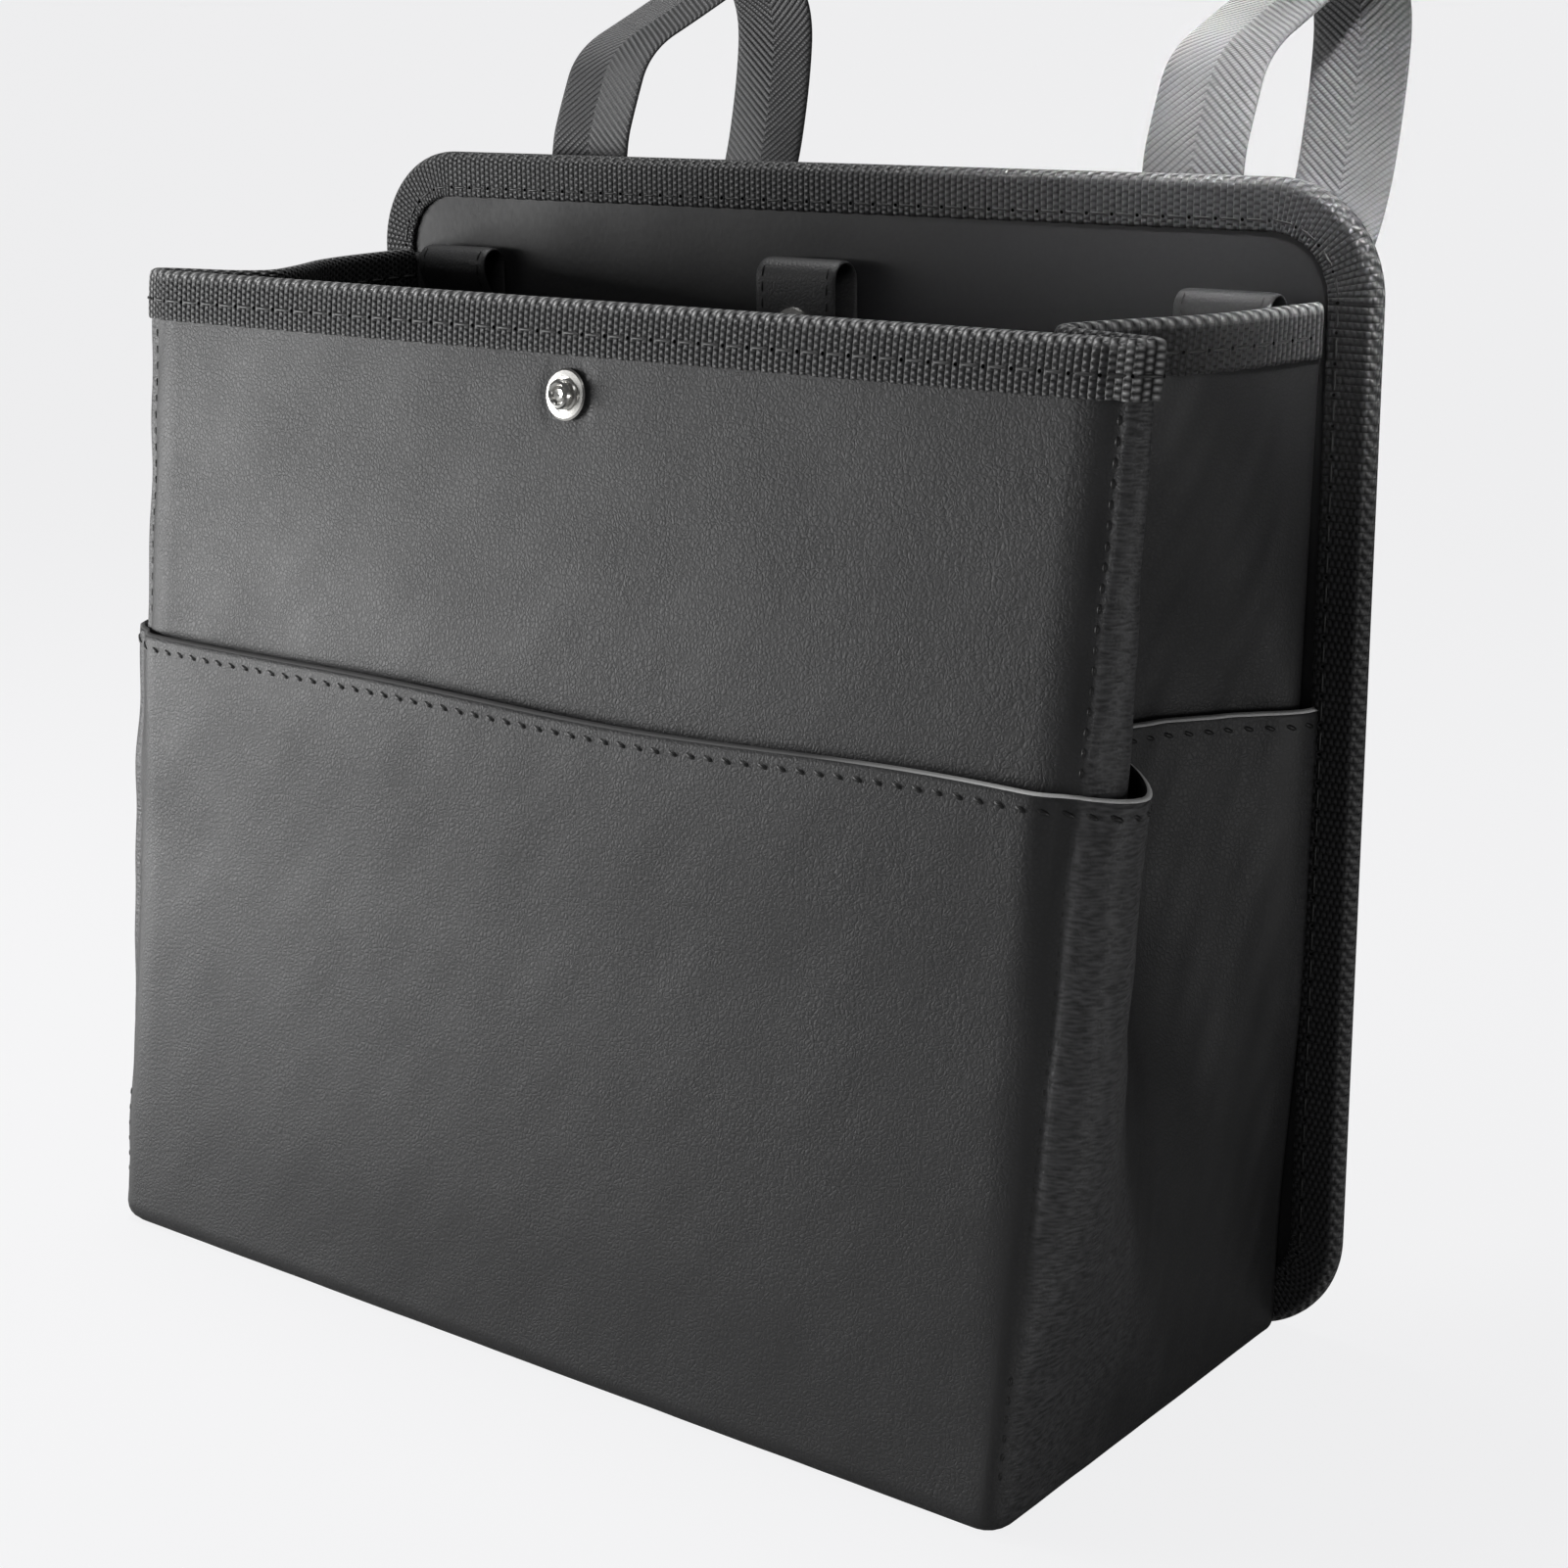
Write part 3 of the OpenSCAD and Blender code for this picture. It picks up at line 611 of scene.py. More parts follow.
def bag_surface(z, tail, columns):
    """Grid of points (heights, stations, 3), its outward normals, and its lengths."""
    line, run = evenly(plan_lines(z, tail), columns)
    grid = np.concatenate([line, np.broadcast_to(z[:, None, None], (*line.shape[:2], 1))], -1)
    normal = np.cross(np.gradient(grid, axis=1), np.gradient(grid, axis=0))
    normal /= np.linalg.norm(normal, axis=-1, keepdims=True)
    uv = np.stack(np.broadcast_arrays(run[None, :], z[:, None]), -1)
    return grid, normal, uv


sample = plan_lines(np.array([0.0, 165.0, 260.0]), -4.0)
print("plan lines from base to rim, mm long:",
      np.linalg.norm(np.diff(sample, axis=1), axis=2).sum(1).round(1))

# %% [markdown]
# The outer side is moved a little along its normals: slow unevenness everywhere, slightly
# more on the free gusset than on the front, which has a board behind it; a groove where the
# thread pulls the corner down to the edge of that board; and a pressed ring round the snap.

# %% Body sheet
def crown(grid, most):
    """The front bows out: most * (1 - (x / half)^2), fading towards the base and the rim."""
    x, y, z = grid[..., 0], grid[..., 1], grid[..., 2]
    rise = ramp(0, 45, z) * (1 - ramp(rim_h - 80, rim_h - 24, z))
    return most * np.maximum(1 - (x / front_half(z)) ** 2, 0) * rise * (y < front_y(z) + 3)


def relief(grid, front_amount, side_amount, seed):
    """Small push along the normal, in millimetres."""
    x, y, z = grid[..., 0], grid[..., 1], grid[..., 2]
    side = ramp(0, 1, ramp(front_half(z) - 6, front_half(z) + 2, np.abs(x))
                + ramp(4, 14, y - front_y(z)))
    u = np.where(side > 0.5, x + 1.7 * y, x)
    waves = ripple(u, z, seed, 62.0) * 0.6 + ripple(u, z, seed + 1, 24.0) * 0.4
    push = waves * (front_amount + (side_amount - front_amount) * side)
    sewn = np.exp(-((np.abs(x) - front_half(z) + 0.8) / 1.1) ** 2) * (y < front_y(z) + 4)
    return push - 0.45 * sewn


STATIONS, SEAM_ALLOWANCE, FRONT_BOW = 400, 9.0, 1.8
z_body = np.concatenate([np.linspace(0, 20, 21)[:-1], np.linspace(20, rim_h, 92)])
grid, normal, uv = bag_surface(z_body, SEAM_ALLOWANCE, STATIONS)
z = grid[..., 2]
push = relief(grid, 0.12, 0.75, 11) * ramp(0, 14, z) * ramp(0, 10, rim_h + 2 - z)
push = push + crown(grid, FRONT_BOW)
near_seam = ramp(2, 16, back_y - grid[..., 1])
from_snap = np.hypot(grid[..., 0], (z - snap_h) * 1.01)
ring = 0.45 * np.exp(-((from_snap - 7.0) / 1.1) ** 2) * (grid[..., 1] < front_y(z) + 2)
push = push * near_seam - ring
body_outer, body_normal = grid + normal * push[..., None], normal
body_inner = grid + normal * (push * 0.6 * near_seam - leather_t)[..., None]
body = closed_sheet("body_leather", body_outer, body_inner, charcoal, "leather", uv)
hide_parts("body_sheet")

# %% [markdown]
# ## The pocket
# The pocket is a second sheet laid round the first and sewn through it at the front corners.
# Its top is a raw cut edge that stands off the front and curls a little at the corner strip,
# because nothing holds it there. The cut is dark grey at the left end and turns to a pale
# fibre colour towards the right: partly the raw fibre's own colour and partly painted light,
# where the light falls brighter on the right end.

# %% Pocket sheet
def cut_edge_finish():
    f = Finish("leather_cut_edge")
    fibre = f.noise(1400.0, 3.0)
    x, _, _ = f.axes()
    # Painted light: the cut turns from dark grey to the pale fibre towards the right end, where
    # more light falls.
    painted_light = ((x - 0.085) / 0.060).most(0.0).least(1.0)
    pale = f.blend(fibre, (0.78, 0.78, 0.78), (1.0, 1.0, 0.98))
    f.set(Base_Color=f.blend(painted_light, (0.12, 0.12, 0.12), pale), Roughness=0.6,
          Normal=f.bump(fibre, 0.00008, 0.6))
    return f.material


def edge_faces(piece, rows, columns, finish):
    """Gives the top border of a closed sheet its own finish: that row of quads comes after
    the two sides and the bottom border."""
    piece.data.materials.append(finish)
    index = np.zeros(len(piece.data.polygons), dtype=np.int32)
    first = 2 * (rows - 1) * (columns - 1) + (columns - 1)
    index[first:first + columns - 1] = 1
    piece.data.polygons.foreach_set("material_index", index)


def pocket_stand(grid):
    """Gap to the body: it opens near the lip on the front, lower down on the gussets, and
    closes at the sewn corner."""
    x, y, z = np.abs(grid[..., 0]), grid[..., 1], grid[..., 2]
    on_front = (y < front_y(z) + 3) & (x < front_half(z))
    free = np.where(on_front, ramp(pocket_h - 60, pocket_h, z),
                    ramp(0.15 * pocket_h, 0.6 * pocket_h, z))
    from_corner = np.hypot(x - front_half(z), y - front_y(z))
    tight = np.where((grid[..., 0] < 0) & ~on_front, 0.35, 1.0)
    return fit + (pocket_gap - fit) * free * tight * ramp(1, 9, from_corner)


z_pocket = np.concatenate([np.linspace(1.0, 15, 16)[:-1], np.linspace(15, pocket_h, 76)])
grid, normal, uv = bag_surface(z_pocket, -(bind_t + fit), STATIONS)
z = grid[..., 2]
stand = pocket_stand(grid)
strip = ramp(4, 10, grid[..., 1] - front_y(z)) * (1 - ramp(26, 44, grid[..., 1] - front_y(z)))
stand = stand + 0.8 * strip * ramp(pocket_h - 26, pocket_h, z) ** 2
push = relief(grid, 0.12, 0.75, 11) * ramp(0, 14, z) + 0.05 * ripple(uv[..., 0], z, 31, 34.0)
push = push + crown(grid, FRONT_BOW) + crown(grid, 0.7) * ramp(10, 120, z)
push = push * ramp(2, 16, back_y - grid[..., 1])
sag = 1.1 * ripple(uv[..., 0], 0 * z, 41, 150.0) * ramp(pocket_h - 40, pocket_h, z)
outer = grid + normal * (stand + leather_t + push)[..., None]
inner = grid + normal * (stand + push * 0.8)[..., None]
on_gusset = np.clip((grid[..., 1] - front_y(z) - 12) / (back_y - front_y(z) - 12), 0, 1)
sag = sag + 2.2 * np.sin(math.pi * on_gusset) * ramp(pocket_h - 60, pocket_h, z)
outer[..., 2] += sag
inner[..., 2] += sag
outer[-1, :, 2] -= 0.7
outer[..., 2] = np.maximum(outer[..., 2], 0.0)
pocket = closed_sheet("pocket_leather", outer, inner, charcoal, "leather", uv)
edge_faces(pocket, len(z_pocket), STATIONS, cut_edge_finish())
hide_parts("pocket_sheet")
lip, pocket_normal = outer, normal

# %% [markdown]
# ## Sewing
# One stitch is a short fat thread that dips into the sheet at both ends. A row is that stitch
# repeated at an even pitch along any line. All the stitches of a row are one mesh: the points
# of one stitch, placed by matrix arithmetic on whole arrays.

# %% Stitch rows
def one_stitch(length, width, rise):
    """A spindle of six sides along X, its ends bent down: z = rise * (1 - t^4) - dip."""
    t = np.linspace(-1, 1, 7)
    a = np.linspace(0, 2 * math.pi, 6, endpoint=False)
    fat = (1 - np.abs(t) ** 2.6 * 0.7)[:, None]
    x = np.broadcast_to((t * length / 2)[:, None], (7, 6))
    y = fat * np.cos(a) * width / 2
    z = fat * np.sin(a) * width / 2 + (rise * (1 - t ** 4) - 0.25 * width)[:, None]
    points = np.stack([x, y, z], -1).reshape(-1, 3)
    ring = np.arange(42).reshape(7, 6)
    ring = np.concatenate([ring, ring[:, :1]], 1)
    faces = quads(ring)[:, ::-1]
    caps = np.array([[0, 1, 2, 3], [0, 3, 4, 5], [36, 39, 38, 37], [36, 41, 40, 39]])
    return points, np.concatenate([faces, caps])


def needle_hole(radius):
    """A low dome of eight sides, closed below, that reads as a hole: rings of a hemisphere."""
    a = np.linspace(0, 2 * math.pi, 8, endpoint=False)
    rings = [(1.0, -0.12), (0.9, 0.03), (0.45, 0.06), (0.02, 0.065)]
    points = np.concatenate([np.stack([radius * r * np.cos(a), radius * r * np.sin(a),
                                       np.full(8, z)], -1) for r, z in rings])
    ring = np.arange(32).reshape(4, 8)
    faces = quads(np.concatenate([ring, ring[:, :1]], 1))[:, ::-1]
    caps = np.array([[3, 2, 1, 0], [0, 7, 4, 3], [7, 6, 5, 4],
                     [24, 25, 26, 27], [27, 28, 31, 24], [28, 29, 30, 31]])
    return points, np.concatenate([faces, caps])


def planted(shape, faces, places, frames):
    """Copies of a small shape: place + (x, y, z of the shape) times the place's own frame."""
    points = places[:, None, :] + np.einsum("pk,nkc->npc", shape, frames)
    every = faces[None] + (np.arange(len(places)) * len(shape))[:, None, None]
    return points.reshape(-1, 3), every.reshape(-1, 4)


def sew(name, line, normal, pitch, length, width=0.75, rise=0.22, finish=thread, hole=0.0,
        slant=0.0):
    """Stitches along a line of points, standing on the side that normal points to. With a
    hole radius, each stitch also gets the dark needle hole that it dips into."""
    run = run_along(line)
    middle = np.arange(pitch / 2, run[-1] - pitch / 3, pitch)
    along = follow(line, run, middle + 0.4 * length) - follow(line, run, middle - 0.4 * length)
    along /= np.linalg.norm(along, axis=1, keepdims=True)
    side = np.cross(follow(normal, run, middle), along)
    side /= np.linalg.norm(side, axis=1, keepdims=True)
    up = np.cross(along, side)
    turn = math.radians(slant)
    along, side = (along * math.cos(turn) + side * math.sin(turn),
                   side * math.cos(turn) - along * math.sin(turn))
    frames = np.stack([along, side, up], 1)
    stitches = planted(*one_stitch(length, width, rise), follow(line, run, middle), frames)
    write_mesh(name, *stitches, finish, "binding")
    if hole:
        ends = np.concatenate([middle - pitch / 2, middle[-1:] + pitch / 2])
        frames = np.concatenate([frames, frames[-1:]])
        holes = planted(*needle_hole(hole), follow(line, run, ends), frames)
        write_mesh(name + "_holes", *holes, painted_hole_shade, "binding")
    print(f"{name}: {len(middle)} stitches")


row = int(np.argmin(np.abs(z_pocket - (pocket_h - 4.0))))
sew("pocket_stitches", outer[row] + normal[row] * 0.02, normal[row], 5.3, 3.2, 1.25, 0.2,
    slant=-22.0)

# %% [markdown]
# ## The binding of the rim
# One band of webbing is folded over the top edge and sewn through, all the way from seam to
# seam. Its section is a U: down the outside, over the edge in a half round, and down the
# inside, where the board makes it stand wider on the front than on the gussets. The thread
# pulls it in at each stitch, so its lower edge is faintly wavy.

# %% Rim binding
low, top = rim_h - bind_w + bind_t, rim_h + 0.2
stations = 900
legs = np.linspace(low, top - 0.8, 12)
leg_grid, leg_normal, leg_uv = bag_surface(legs, -(leather_t + fit + 2), stations)
run = leg_uv[0, :, 0]
edge, edge_normal = leg_grid[-1], leg_normal[-1] * [1, 1, 0]
edge_normal /= np.linalg.norm(edge_normal, axis=-1, keepdims=True)
on_front = (1 - ramp(front_half(rim_h) - 8.5, front_half(rim_h) - 4.5, np.abs(edge[:, 0]))) \
    * (edge[:, 1] < front_y(rim_h) + 4)
core = leather_t + 0.2 + (stack_t - leather_t) * on_front
BIND_PITCH = 7.2
pull = np.abs(np.sin(math.pi * run / BIND_PITCH))
height = (legs - low)[:, None] / (top - low)
puff = 0.22 * (1 - np.exp(-((legs[:, None] - low - 5.4) / 2.2) ** 2) * (1 - pull)) \
    * np.sin(np.clip(height, 0, 1) * math.pi) ** 0.5
wavy = -0.35 * pull * (1 - height) ** 3
arc = np.linspace(0, math.pi, 13)[1:-1]


def u_section(out, depth, crown, puffy):
    """Rows of points up the outside, over the edge and down the inside."""
    outside = leg_grid + leg_normal * (out + puffy)[..., None]
    inside = leg_grid - leg_normal * (core + depth + puffy)[..., None]
    outside[..., 2] += wavy
    inside[..., 2] += wavy
    middle, half = (out - core - depth) / 2, (out + core + depth) / 2
    over = edge[None] + edge_normal[None] * (middle + half * np.cos(arc)[:, None])[..., None]
    over[..., 2] += crown * (np.sin(arc) ** 0.75)[:, None]
    return np.concatenate([outside, over, inside[::-1]])


skin = u_section(0.2 + bind_t, bind_t, 0.8 + bind_t, puff)
under = u_section(0.12, 0.0, 0.75, 0 * puff)
across = run_along(skin[:, 200])
uv = np.stack(np.broadcast_arrays(run[None], across[:, None]), -1)
reach = float(run[np.argmax(edge[:, 0])]) - float(run[-1]) / 2
fold = across[len(legs) + 3]
# The pale grey of the rim's painted glints and highlights is 0.62.
rim_webbing = ribbed("rim_binding_webbing", BLACK_YARN, fold, 0.62,
                     corner=(float(run[-1]) / 2, reach - 3.0))
print("rim fold at", fold.round(2), "of", across[-1].round(2), "mm")
rim = closed_sheet("rim_binding_webbing", skin, under, rim_webbing, "binding", uv)
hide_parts("rim_binding")
k = int(np.argmin(np.abs(legs - (low + 5.4))))
for label, line, out in (("outside", skin[k], leg_normal[k]),
                         ("inside", skin[-1 - k], -leg_normal[k])):
    sew(f"rim_stitches_{label}", line, out, BIND_PITCH, 5.6, 0.9, 0.2, grey_thread, 0.5)

# %% [markdown]
# ## The binding of the back panel
# The same band runs once round the stiff panel. The outline is a rectangle with round
# corners, written as a line with its outward direction; any point of the band is that line
# moved inwards by some distance and placed at some depth. The section closes on itself and
# the band closes on itself, so the surface is a ring in both directions.

# %% Back binding
def panel_outline(count):
    """Points of the rounded outline in X and Z, outward directions and the run, evenly."""
    w, h, r = panel_w / 2, panel_h, back_r
    centres = np.array([[w - r, h - r], [-w + r, h - r], [-w + r, r], [w - r, r]])
    turns = np.linspace(0, math.pi / 2, 24)
    start = np.arange(4) * math.pi / 2
    angle = (start[:, None] + turns[None]).ravel()
    p = np.repeat(centres, 24, 0) + r * np.stack([np.cos(angle), np.sin(angle)], -1)
    n = np.stack([np.cos(angle), np.sin(angle)], -1)
    p, n = np.concatenate([p, p[:1]]), np.concatenate([n, n[:1]])
    run = run_along(p)
    where = np.linspace(0, run[-1], count, endpoint=False)
    n = follow(n, run, where)
    return (follow(p, run, where), n / np.linalg.norm(n, axis=1, keepdims=True), where, run[-1])


def ring_surface(name, grid, uv_of, finish, slot):
    """A grid that wraps round in both directions, with lengths for every face corner."""
    n, m = grid.shape[:2]
    a = np.arange(n * m).reshape(n, m)
    a = np.pad(a, ((0, 1), (0, 1)), mode="wrap")
    corner = quads(np.arange((n + 1) * (m + 1)).reshape(n + 1, m + 1))
    piece = write_mesh(name, grid.reshape(-1, 3), quads(a), finish, slot)
    layer = piece.data.uv_layers.new(name="lengths")
    layer.data.foreach_set("uv", (uv_of.reshape(-1, 2)[corner.ravel()] * MM)
                           .astype(np.float32).ravel())
    outward(piece)
    print(f"{name}: {n * m} faces")
    return piece


place, way, where, whole = panel_outline(1100)
mid_y, half_y = (back_y + rear_y) / 2, (rear_y - back_y) / 2 + bind_t
bend = np.linspace(-math.pi / 2, math.pi / 2, 15)
flat_in = np.linspace(bind_w - 0.5, 3.4, 7)
depth = np.concatenate([[bind_w, bind_w - 0.15], flat_in, 3.0 - 3.0 * np.cos(bend),
                        flat_in[::-1], [bind_w - 0.15, bind_w],
                        [bind_w - 0.6, 4.0, 1.6, 1.3, 1.6, 4.0, bind_w - 0.6]])
side = np.concatenate([[-half_y + 0.9, -half_y + 0.25], np.full(7, -half_y),
                       half_y * np.sign(np.sin(bend)) * np.abs(np.sin(bend)) ** 0.8,
                       np.full(7, half_y), [half_y - 0.25, half_y - 0.9],
                       [half_y - 0.97, half_y - 0.97, half_y - 1.1, 0, -half_y + 1.1,
                        -half_y + 0.97, -half_y + 0.97]])
pull = np.abs(np.sin(math.pi * where / BIND_PITCH))[:, None]
sewn = np.exp(-((depth - bind_w + 2.6) / 1.8) ** 2)[None]
shown = np.concatenate([np.ones(33), np.zeros(7)])[None]
puffy = 0.20 * (1 - (1 - pull) * sewn) * shown * np.sign(side)[None]
puffy = puffy * (np.abs(side) > half_y - 0.3)
inset = depth[None] + 0.25 * pull * (depth > bind_w - 0.3)
flat = place[:, None] - way[:, None] * inset[..., None]
grid = np.stack([flat[..., 0], mid_y + side[None] + puffy, flat[..., 1]], -1)
section = np.concatenate([[0], np.cumsum(np.hypot(np.diff(depth), np.diff(side))), [80.0]])
uv_of = np.stack(np.broadcast_arrays(np.append(where, whole)[:, None], section[None]), -1)
# The pale grey of the back binding's painted glints is a dim 0.16.
back_webbing = ribbed("back_binding_webbing", (0.009, 0.009, 0.010), section[14], 0.16, 0.0004)
print("back fold at", section[14].round(2), "of", section[-2].round(2), "mm")
edge_band = ring_surface("back_binding_webbing", grid, uv_of, back_webbing, "binding")
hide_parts("back_binding")
loop = np.concatenate([np.arange(len(place)), [0]])
seam = (place - way * (bind_w - 2.6))[loop]
for label, y, n_y in (("front", back_y - bind_t - 0.15, -1.0),
                      ("rear", rear_y + bind_t + 0.15, 1.0)):
    line = np.stack([seam[:, 0], np.full(len(loop), y), seam[:, 1]], -1)
    sew(f"back_stitches_{label}", line, np.broadcast_to([0.0, n_y, 0.0], line.shape).copy(),
        BIND_PITCH, 5.4, 0.8, 0.12, thread, 0.5)

# %% [markdown]
# ## The corner stitching
# A dark seam runs down each front corner, along the edge of the front board, and holds the
# pocket there too. It is sewn on the body above the pocket and on the pocket below its edge.

# %% Corner stitch rows
def corner_line(surface, normal, z, sign):
    """Points and outward directions where the surface's rows cross the corner groove: the
    first station of each half row that lies past x, moved sideways onto x."""
    half = STATIONS // 2
    pick = slice(half, None) if sign > 0 else slice(half - 1, None, -1)
    x = front_half(surface[..., 2].mean(1)) - 0.8
    rows = np.arange(len(surface))
    first = np.argmax(surface[:, pick, 0] * sign > x[:, None], axis=1)
    points, out = surface[:, pick][rows, first], normal[:, pick][rows, first]
    points[:, 0] = x * sign
    return follow(points, points[:, 2], z), follow(out, points[:, 2], z)


heights = {"upper": (body_outer, body_normal, np.linspace(pocket_h + 3, low - 1.5, 60)),
           "lower": (lip, pocket_normal, np.linspace(12, pocket_h - 8, 80))}
for label, sign in (("left", -1), ("right", 1)):
    for part, (surface, normal, z) in heights.items():
        line, out = corner_line(surface, normal, z, sign)
        sew(f"corner_stitches_{label}_{part}", line, out, 4.4, 2.6, 1.1, 0.2)

# %% [markdown]
# ## Ribbons: leather loops, closing strap and webbing straps
# Each of these is a flat strip whose side view is one smooth line. The line is given by a few
# points with the corners cut, and the strip gets its thickness along the line's normals,
# thinning to a round edge at both sides.

# %% Ribbon helper
def side_line(route, rounds, count):
    """A smooth line in Y and Z through the route's corners, evenly spaced, with normals."""
    p = np.array(route, float)[None]
    for _ in range(rounds):
        p = cut(p)
    p = p[0]
    run = run_along(p)
    where = np.linspace(0, run[-1], count)
    line = follow(p, run, where)
    way = np.gradient(line, axis=0)
    way /= np.linalg.norm(way, axis=1, keepdims=True)
    return line, np.stack([way[:, 1], -way[:, 0]], -1), where


def ribbon(name, x, width, thick, route, rounds, count, finish, slot, sway=0.0, columns=25):
    """A strip of the given width about x, along a route seen from the side."""
    line, normal, where = side_line(route, rounds, count)
    across = np.sin(np.linspace(-math.pi / 2, math.pi / 2, columns))
    half = thick / 2 * np.maximum(1 - np.abs(across) ** 14, 0.02) ** 0.5
    wave = sway * np.sin(where / where[-1] * 3 * math.pi)[:, None] * across[None]
    sides = []
    for sign in (1, -1):
        yz = line[:, None] + normal[:, None] * (sign * half[None] + wave)[..., None]
        xs = np.broadcast_to(x + across * width / 2, yz.shape[:2])
        sides.append(np.concatenate([xs[..., None], yz], -1))
    uv = np.stack(np.broadcast_arrays(where[:, None], ((across + 1) * width / 2)[None]), -1)
    return closed_sheet(name, sides[0], sides[1], finish, slot, uv), line, normal, where


def edge_rows(name, x, width, inset, line, normal, lift, pitch=4.2, length=3.0):
    """A row of stitches near each long edge of a ribbon, on the side of its normal."""
    for label, sign in (("a", -1), ("b", 1)):
        points = np.concatenate([np.full((len(line), 1), x + sign * (width / 2 - inset)),
                                 line + normal * lift], 1)
        out = np.concatenate([np.zeros((len(line), 1)), normal], 1) * np.sign(lift)
        sew(f"{name}_stitches_{label}", points, out, pitch, length, 0.65, 0.16)


# %% Leather loops
tab_w, tab_x, tab_t, loop_r = 26.0, 126.0, 1.4, 4.8


def arc_points(centre, radius):
    a = np.radians(np.arange(0, 181, 20))
    return [tuple(q) for q in np.array(centre) + radius * np.stack([np.cos(a), np.sin(a)], -1)]


for label, x in (("left", -tab_x), ("right", tab_x)):
    cy, cz, r = back_y - loop_r, rim_h + 3 - loop_r, loop_r - tab_t / 2
    front_in = back_y - 1.5 * tab_t - 0.2
    route = [(back_y - tab_t / 2, cz - 28), (back_y - tab_t / 2, cz - 2),
             *arc_points((cy, cz), r), (cy - r, cz - 3),
             (front_in, cz - 15.1), (front_in, cz - 20.2), (front_in, cz - 28)]
    piece, line, normal, where = ribbon(f"loop_{label}_leather", x, tab_w, tab_t, route, 3, 120,
                                        charcoal, "leather")
    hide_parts(f"loop_tab_{label}")
    front = line[where > where[-1] * 0.52]
    front_normal = normal[where > where[-1] * 0.52]
    sign = 1.0 if front_normal[-1][0] < 0 else -1.0
    edge_rows(f"loop_{label}", x, tab_w, 2.4, front, front_normal, sign * tab_t / 2)

# %% [markdown]
# The closing strap is folded over at the top as the loops are, and its longer front end
# carries the cap and socket of the snap. It is left open, as the bin stands open.

# %% Closing strap
fold_r, close_top = 5.4, rim_h + 5
cy, cz, r = back_y - fold_r, close_top - fold_r, fold_r - tab_t / 2
route = [(back_y - tab_t / 2, cz - 26), (back_y - tab_t / 2, cz - 2), *arc_points((cy, cz), r),
         (cy - r, cz - 3), (cy - r, close_top - 38)]
piece, line, normal, where = ribbon("closing_strap_leather", 0.0, tab_w, tab_t, route, 3, 110,
                                    charcoal, "leather")
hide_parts("closing_strap")
front = where > where[-1] * 0.5
sign = 1.0 if normal[-1][0] < 0 else -1.0
edge_rows("closing_strap", 0.0, tab_w, 2.4, line[front], normal[front], sign * tab_t / 2)

# %% [markdown]
# Each long strap leaves the rear of the panel, arches over as if round a post, comes down and
# laps round the bar of its buckle. The short strap holds the other half. Both routes are
# measured from the buckle's two bars, so that they meet the solid buckle exactly.

# %% Webbing straps
strap_w, strap_t, strap_x, strap_shift = 28.0, 1.3, 97.0, 11.0
tilt = math.radians(36.0)
ahead = np.array([math.sin(tilt), math.cos(tilt)])
aside = np.array([-ahead[1], ahead[0]])
female_bar = np.array([rear_y + 22, rim_h - 58])
male_bar = female_bar + 50.0 * ahead
wrap_r, lap_r = 1.7 + fit + strap_t / 2, (strap_t + fit) / 2
hug_y, over_y = rear_y + strap_t / 2, rear_y + bind_t + fit + strap_t / 2
half_turn = np.radians(np.arange(0, 181, 30))[:, None]
long_lap, short_lap = 32.0, 22.0


def over(u, v):
    """A point of the strap loop, as shares of its reach of 87 mm and its rise of 51 mm."""
    return rear_y + u * 87.0, panel_h + v * 51.0


def about(bar, along, across):
    """A point measured from a buckle's bar, along the buckle and across it."""
    return tuple(bar + ahead * along + aside * across)


long_route = [(hug_y, rim_h - 52), (hug_y, rim_h - 4), (over_y, rim_h + 12), (over_y, panel_h + 2),
              over(0.07, 0.25), over(0.15, 0.55), over(0.41, 0.73), over(0.67, 0.92),
              over(0.87, 1), over(1, 0.78), over(0.98, 0.35),
              about(male_bar, long_lap + 12, -lap_r), about(male_bar, 0.62 * long_lap, -lap_r),
              about(male_bar, 6, -wrap_r),
              *(male_bar - aside * np.cos(half_turn) * wrap_r - ahead * np.sin(half_turn) * wrap_r),
              about(male_bar, 6, wrap_r), about(male_bar, 0.62 * long_lap, lap_r),
              about(male_bar, long_lap, lap_r)]
short_route = [(hug_y, rim_h - 122), (hug_y, rim_h - 96),
               about(female_bar, -short_lap - 2, -lap_r),
               about(female_bar, -0.77 * short_lap, -lap_r), about(female_bar, -5, -wrap_r),
               *(female_bar - aside * np.cos(half_turn) * wrap_r
                 + ahead * np.sin(half_turn) * wrap_r),
               about(female_bar, -5, wrap_r), about(female_bar, -0.73 * short_lap, lap_r),
               about(female_bar, -short_lap, lap_r)]
for label, x in (("left", strap_shift - strap_x), ("right", strap_shift + strap_x)):
    for kind, route, count in (("strap", long_route, 420), ("short_strap", short_route, 160)):
        piece, line, normal, where = ribbon(f"{kind}_{label}_webbing", x, strap_w, strap_t,
                                            [tuple(q) for q in route], 3, count, strap_weave,
                                            "strap_webbing")
        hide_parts(f"{kind}_{label}")
        print(f"{kind}_{label}: cut length {where[-1]:.0f} mm")

# %% [markdown]
# Both ends of each strap are sewn to the back panel with a square and a cross, the usual
# stitch pattern where webbing carries a load.

# %% Strap anchors
def box_stitch(name, x, z0, z1, width, y):
    """A square with its two diagonals, on the rear of the back panel."""
    a, b = x - width / 2, x + width / 2
    corners = [(a, z0), (b, z0), (b, z1), (a, z1), (a, z0), (b, z1), (b, z0), (a, z1)]
    for i, (p, q) in enumerate(zip(corners[:5], corners[1:6])):
        draw_row(f"{name}_{i}", p, q, y)
    draw_row(f"{name}_5", corners[6], corners[7], y)


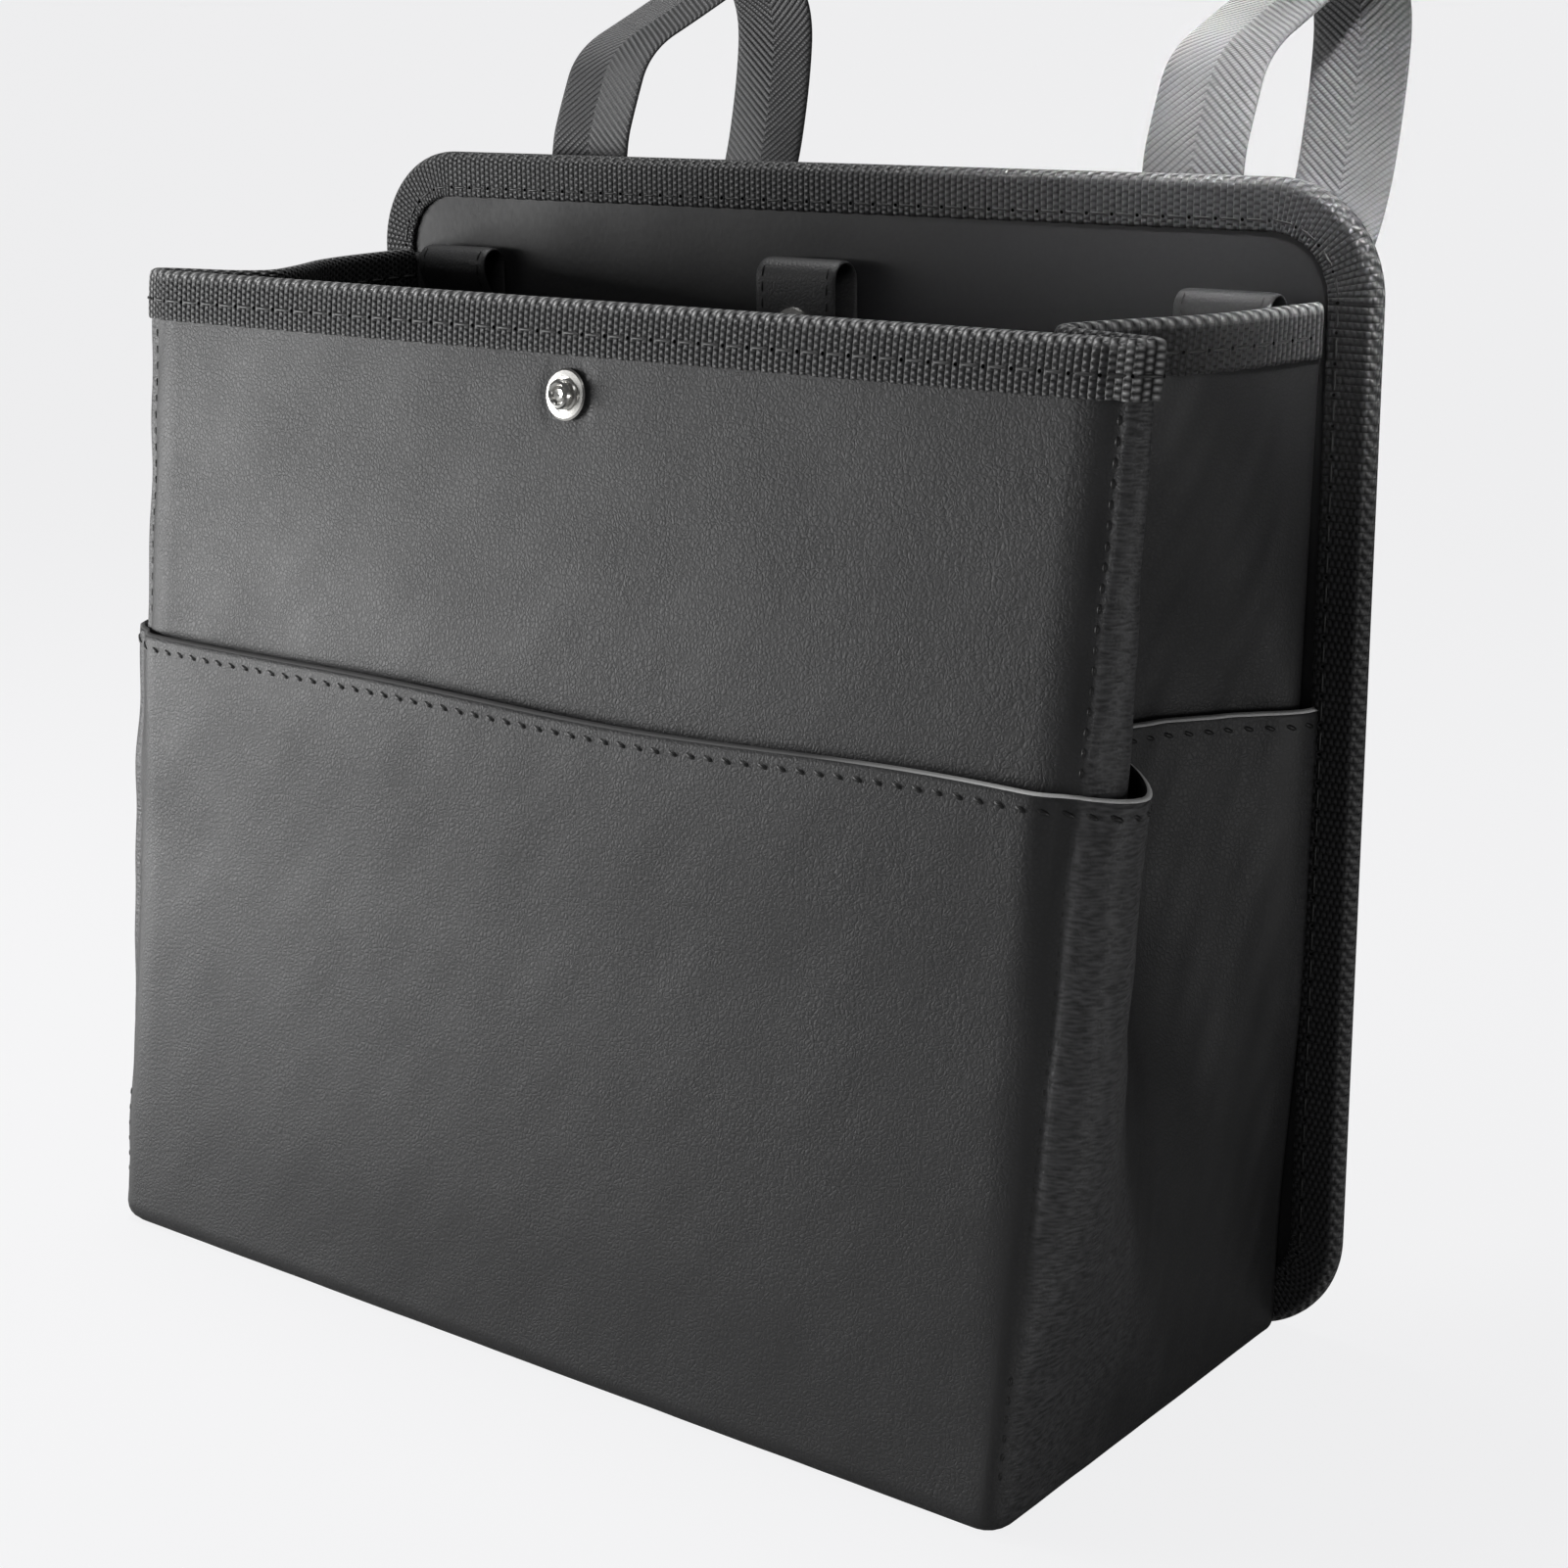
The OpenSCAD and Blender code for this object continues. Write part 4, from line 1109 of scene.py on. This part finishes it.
def draw_row(name, p, q, y):
    t = np.linspace(0, 1, 12)[:, None]
    flat = np.array(p) * (1 - t) + np.array(q) * t
    line = np.stack([flat[:, 0], np.full(12, y), flat[:, 1]], -1)
    sew(name, line, np.broadcast_to([0.0, 1.0, 0.0], line.shape).copy(), 3.0, 2.2, 0.6, 0.15)


for label, x in (("left", strap_shift - strap_x), ("right", strap_shift + strap_x)):
    for part, z0, z1 in (("upper", 49, 27), ("lower", 119, 104)):
        box_stitch(f"anchor_{label}_{part}", x, rim_h - z0, rim_h - z1, strap_w - 5,
                   rear_y + strap_t)

# %% [markdown]
# ## The pieces that keep their solids
# Boards, linings, the flat leather faces, the snaps and the buckles already have their true
# shape, so they only change their finish.

# %% Finishes on the solids
slot_of = {p["node"]: p["material_slot"] for p in frame["record"]["subparts"]}
for name, node in frame["nodes"].items():
    for material_slot in node.material_slots:
        material_slot.material = finish_of[slot_of[name]]
print("solids finished:", len(frame["nodes"]))

# %% [markdown]
# ## Sheets cut flat
# The body and the pocket are sheets that were cut flat and then folded. Their flat sizes are
# the length of the plan line by the height of the sheet.

# %% [markdown]
# ## Floor and backdrop
# A pale sheet of paper that lies flat and curves up behind the bin gives a plain ground.
# What the camera sees of it is mostly a glow of its own, which keeps it even from end to
# end. Every other ray meets plain white paper.

# %% Backdrop
def backdrop():
    """Profile: flat, then a quarter round of 1.2 m, then upright; carried along X."""
    a = np.linspace(0, math.pi / 2, 24)
    y = np.concatenate([[-4.0], 1.6 + 1.2 * np.sin(a), [2.8]])
    z = np.concatenate([[0.0], 1.2 - 1.2 * np.cos(a), [4.5]])
    x = np.linspace(-6, 6, 3)
    turn = math.radians(38.0)
    gx, gy = np.meshgrid(x, y, indexing="ij")
    gz = np.broadcast_to(z, gx.shape)
    points = np.stack([gx * math.cos(turn) - gy * math.sin(turn),
                       gx * math.sin(turn) + gy * math.cos(turn), gz], -1)
    mesh = bpy.data.meshes.new("backdrop")
    index = np.arange(points[..., 0].size).reshape(gx.shape)
    mesh.from_pydata(points.reshape(-1, 3).tolist(), [], quads(index)[:, ::-1].tolist())
    mesh.polygons.foreach_set("use_smooth", [True] * len(mesh.polygons))
    f = Finish("paper")
    f.set(Base_Color=(0.76, 0.76, 0.76), Roughness=0.9)
    glow = f.tree.nodes.new("ShaderNodeEmission")
    glow.inputs["Color"].default_value = (0.98, 0.98, 0.99, 1.0)
    seen = f.node("ShaderNodeLightPath") * 0.86
    mixed = f.tree.nodes.new("ShaderNodeMixShader")
    f.feed(mixed.inputs[0], seen)
    f.tree.links.new(f.shader.outputs[0], mixed.inputs[1])
    f.tree.links.new(glow.outputs[0], mixed.inputs[2])
    f.tree.links.new(mixed.outputs[0], f.tree.nodes["Material Output"].inputs["Surface"])
    mesh.materials.append(f.material)
    put("backdrop", mesh)


backdrop()
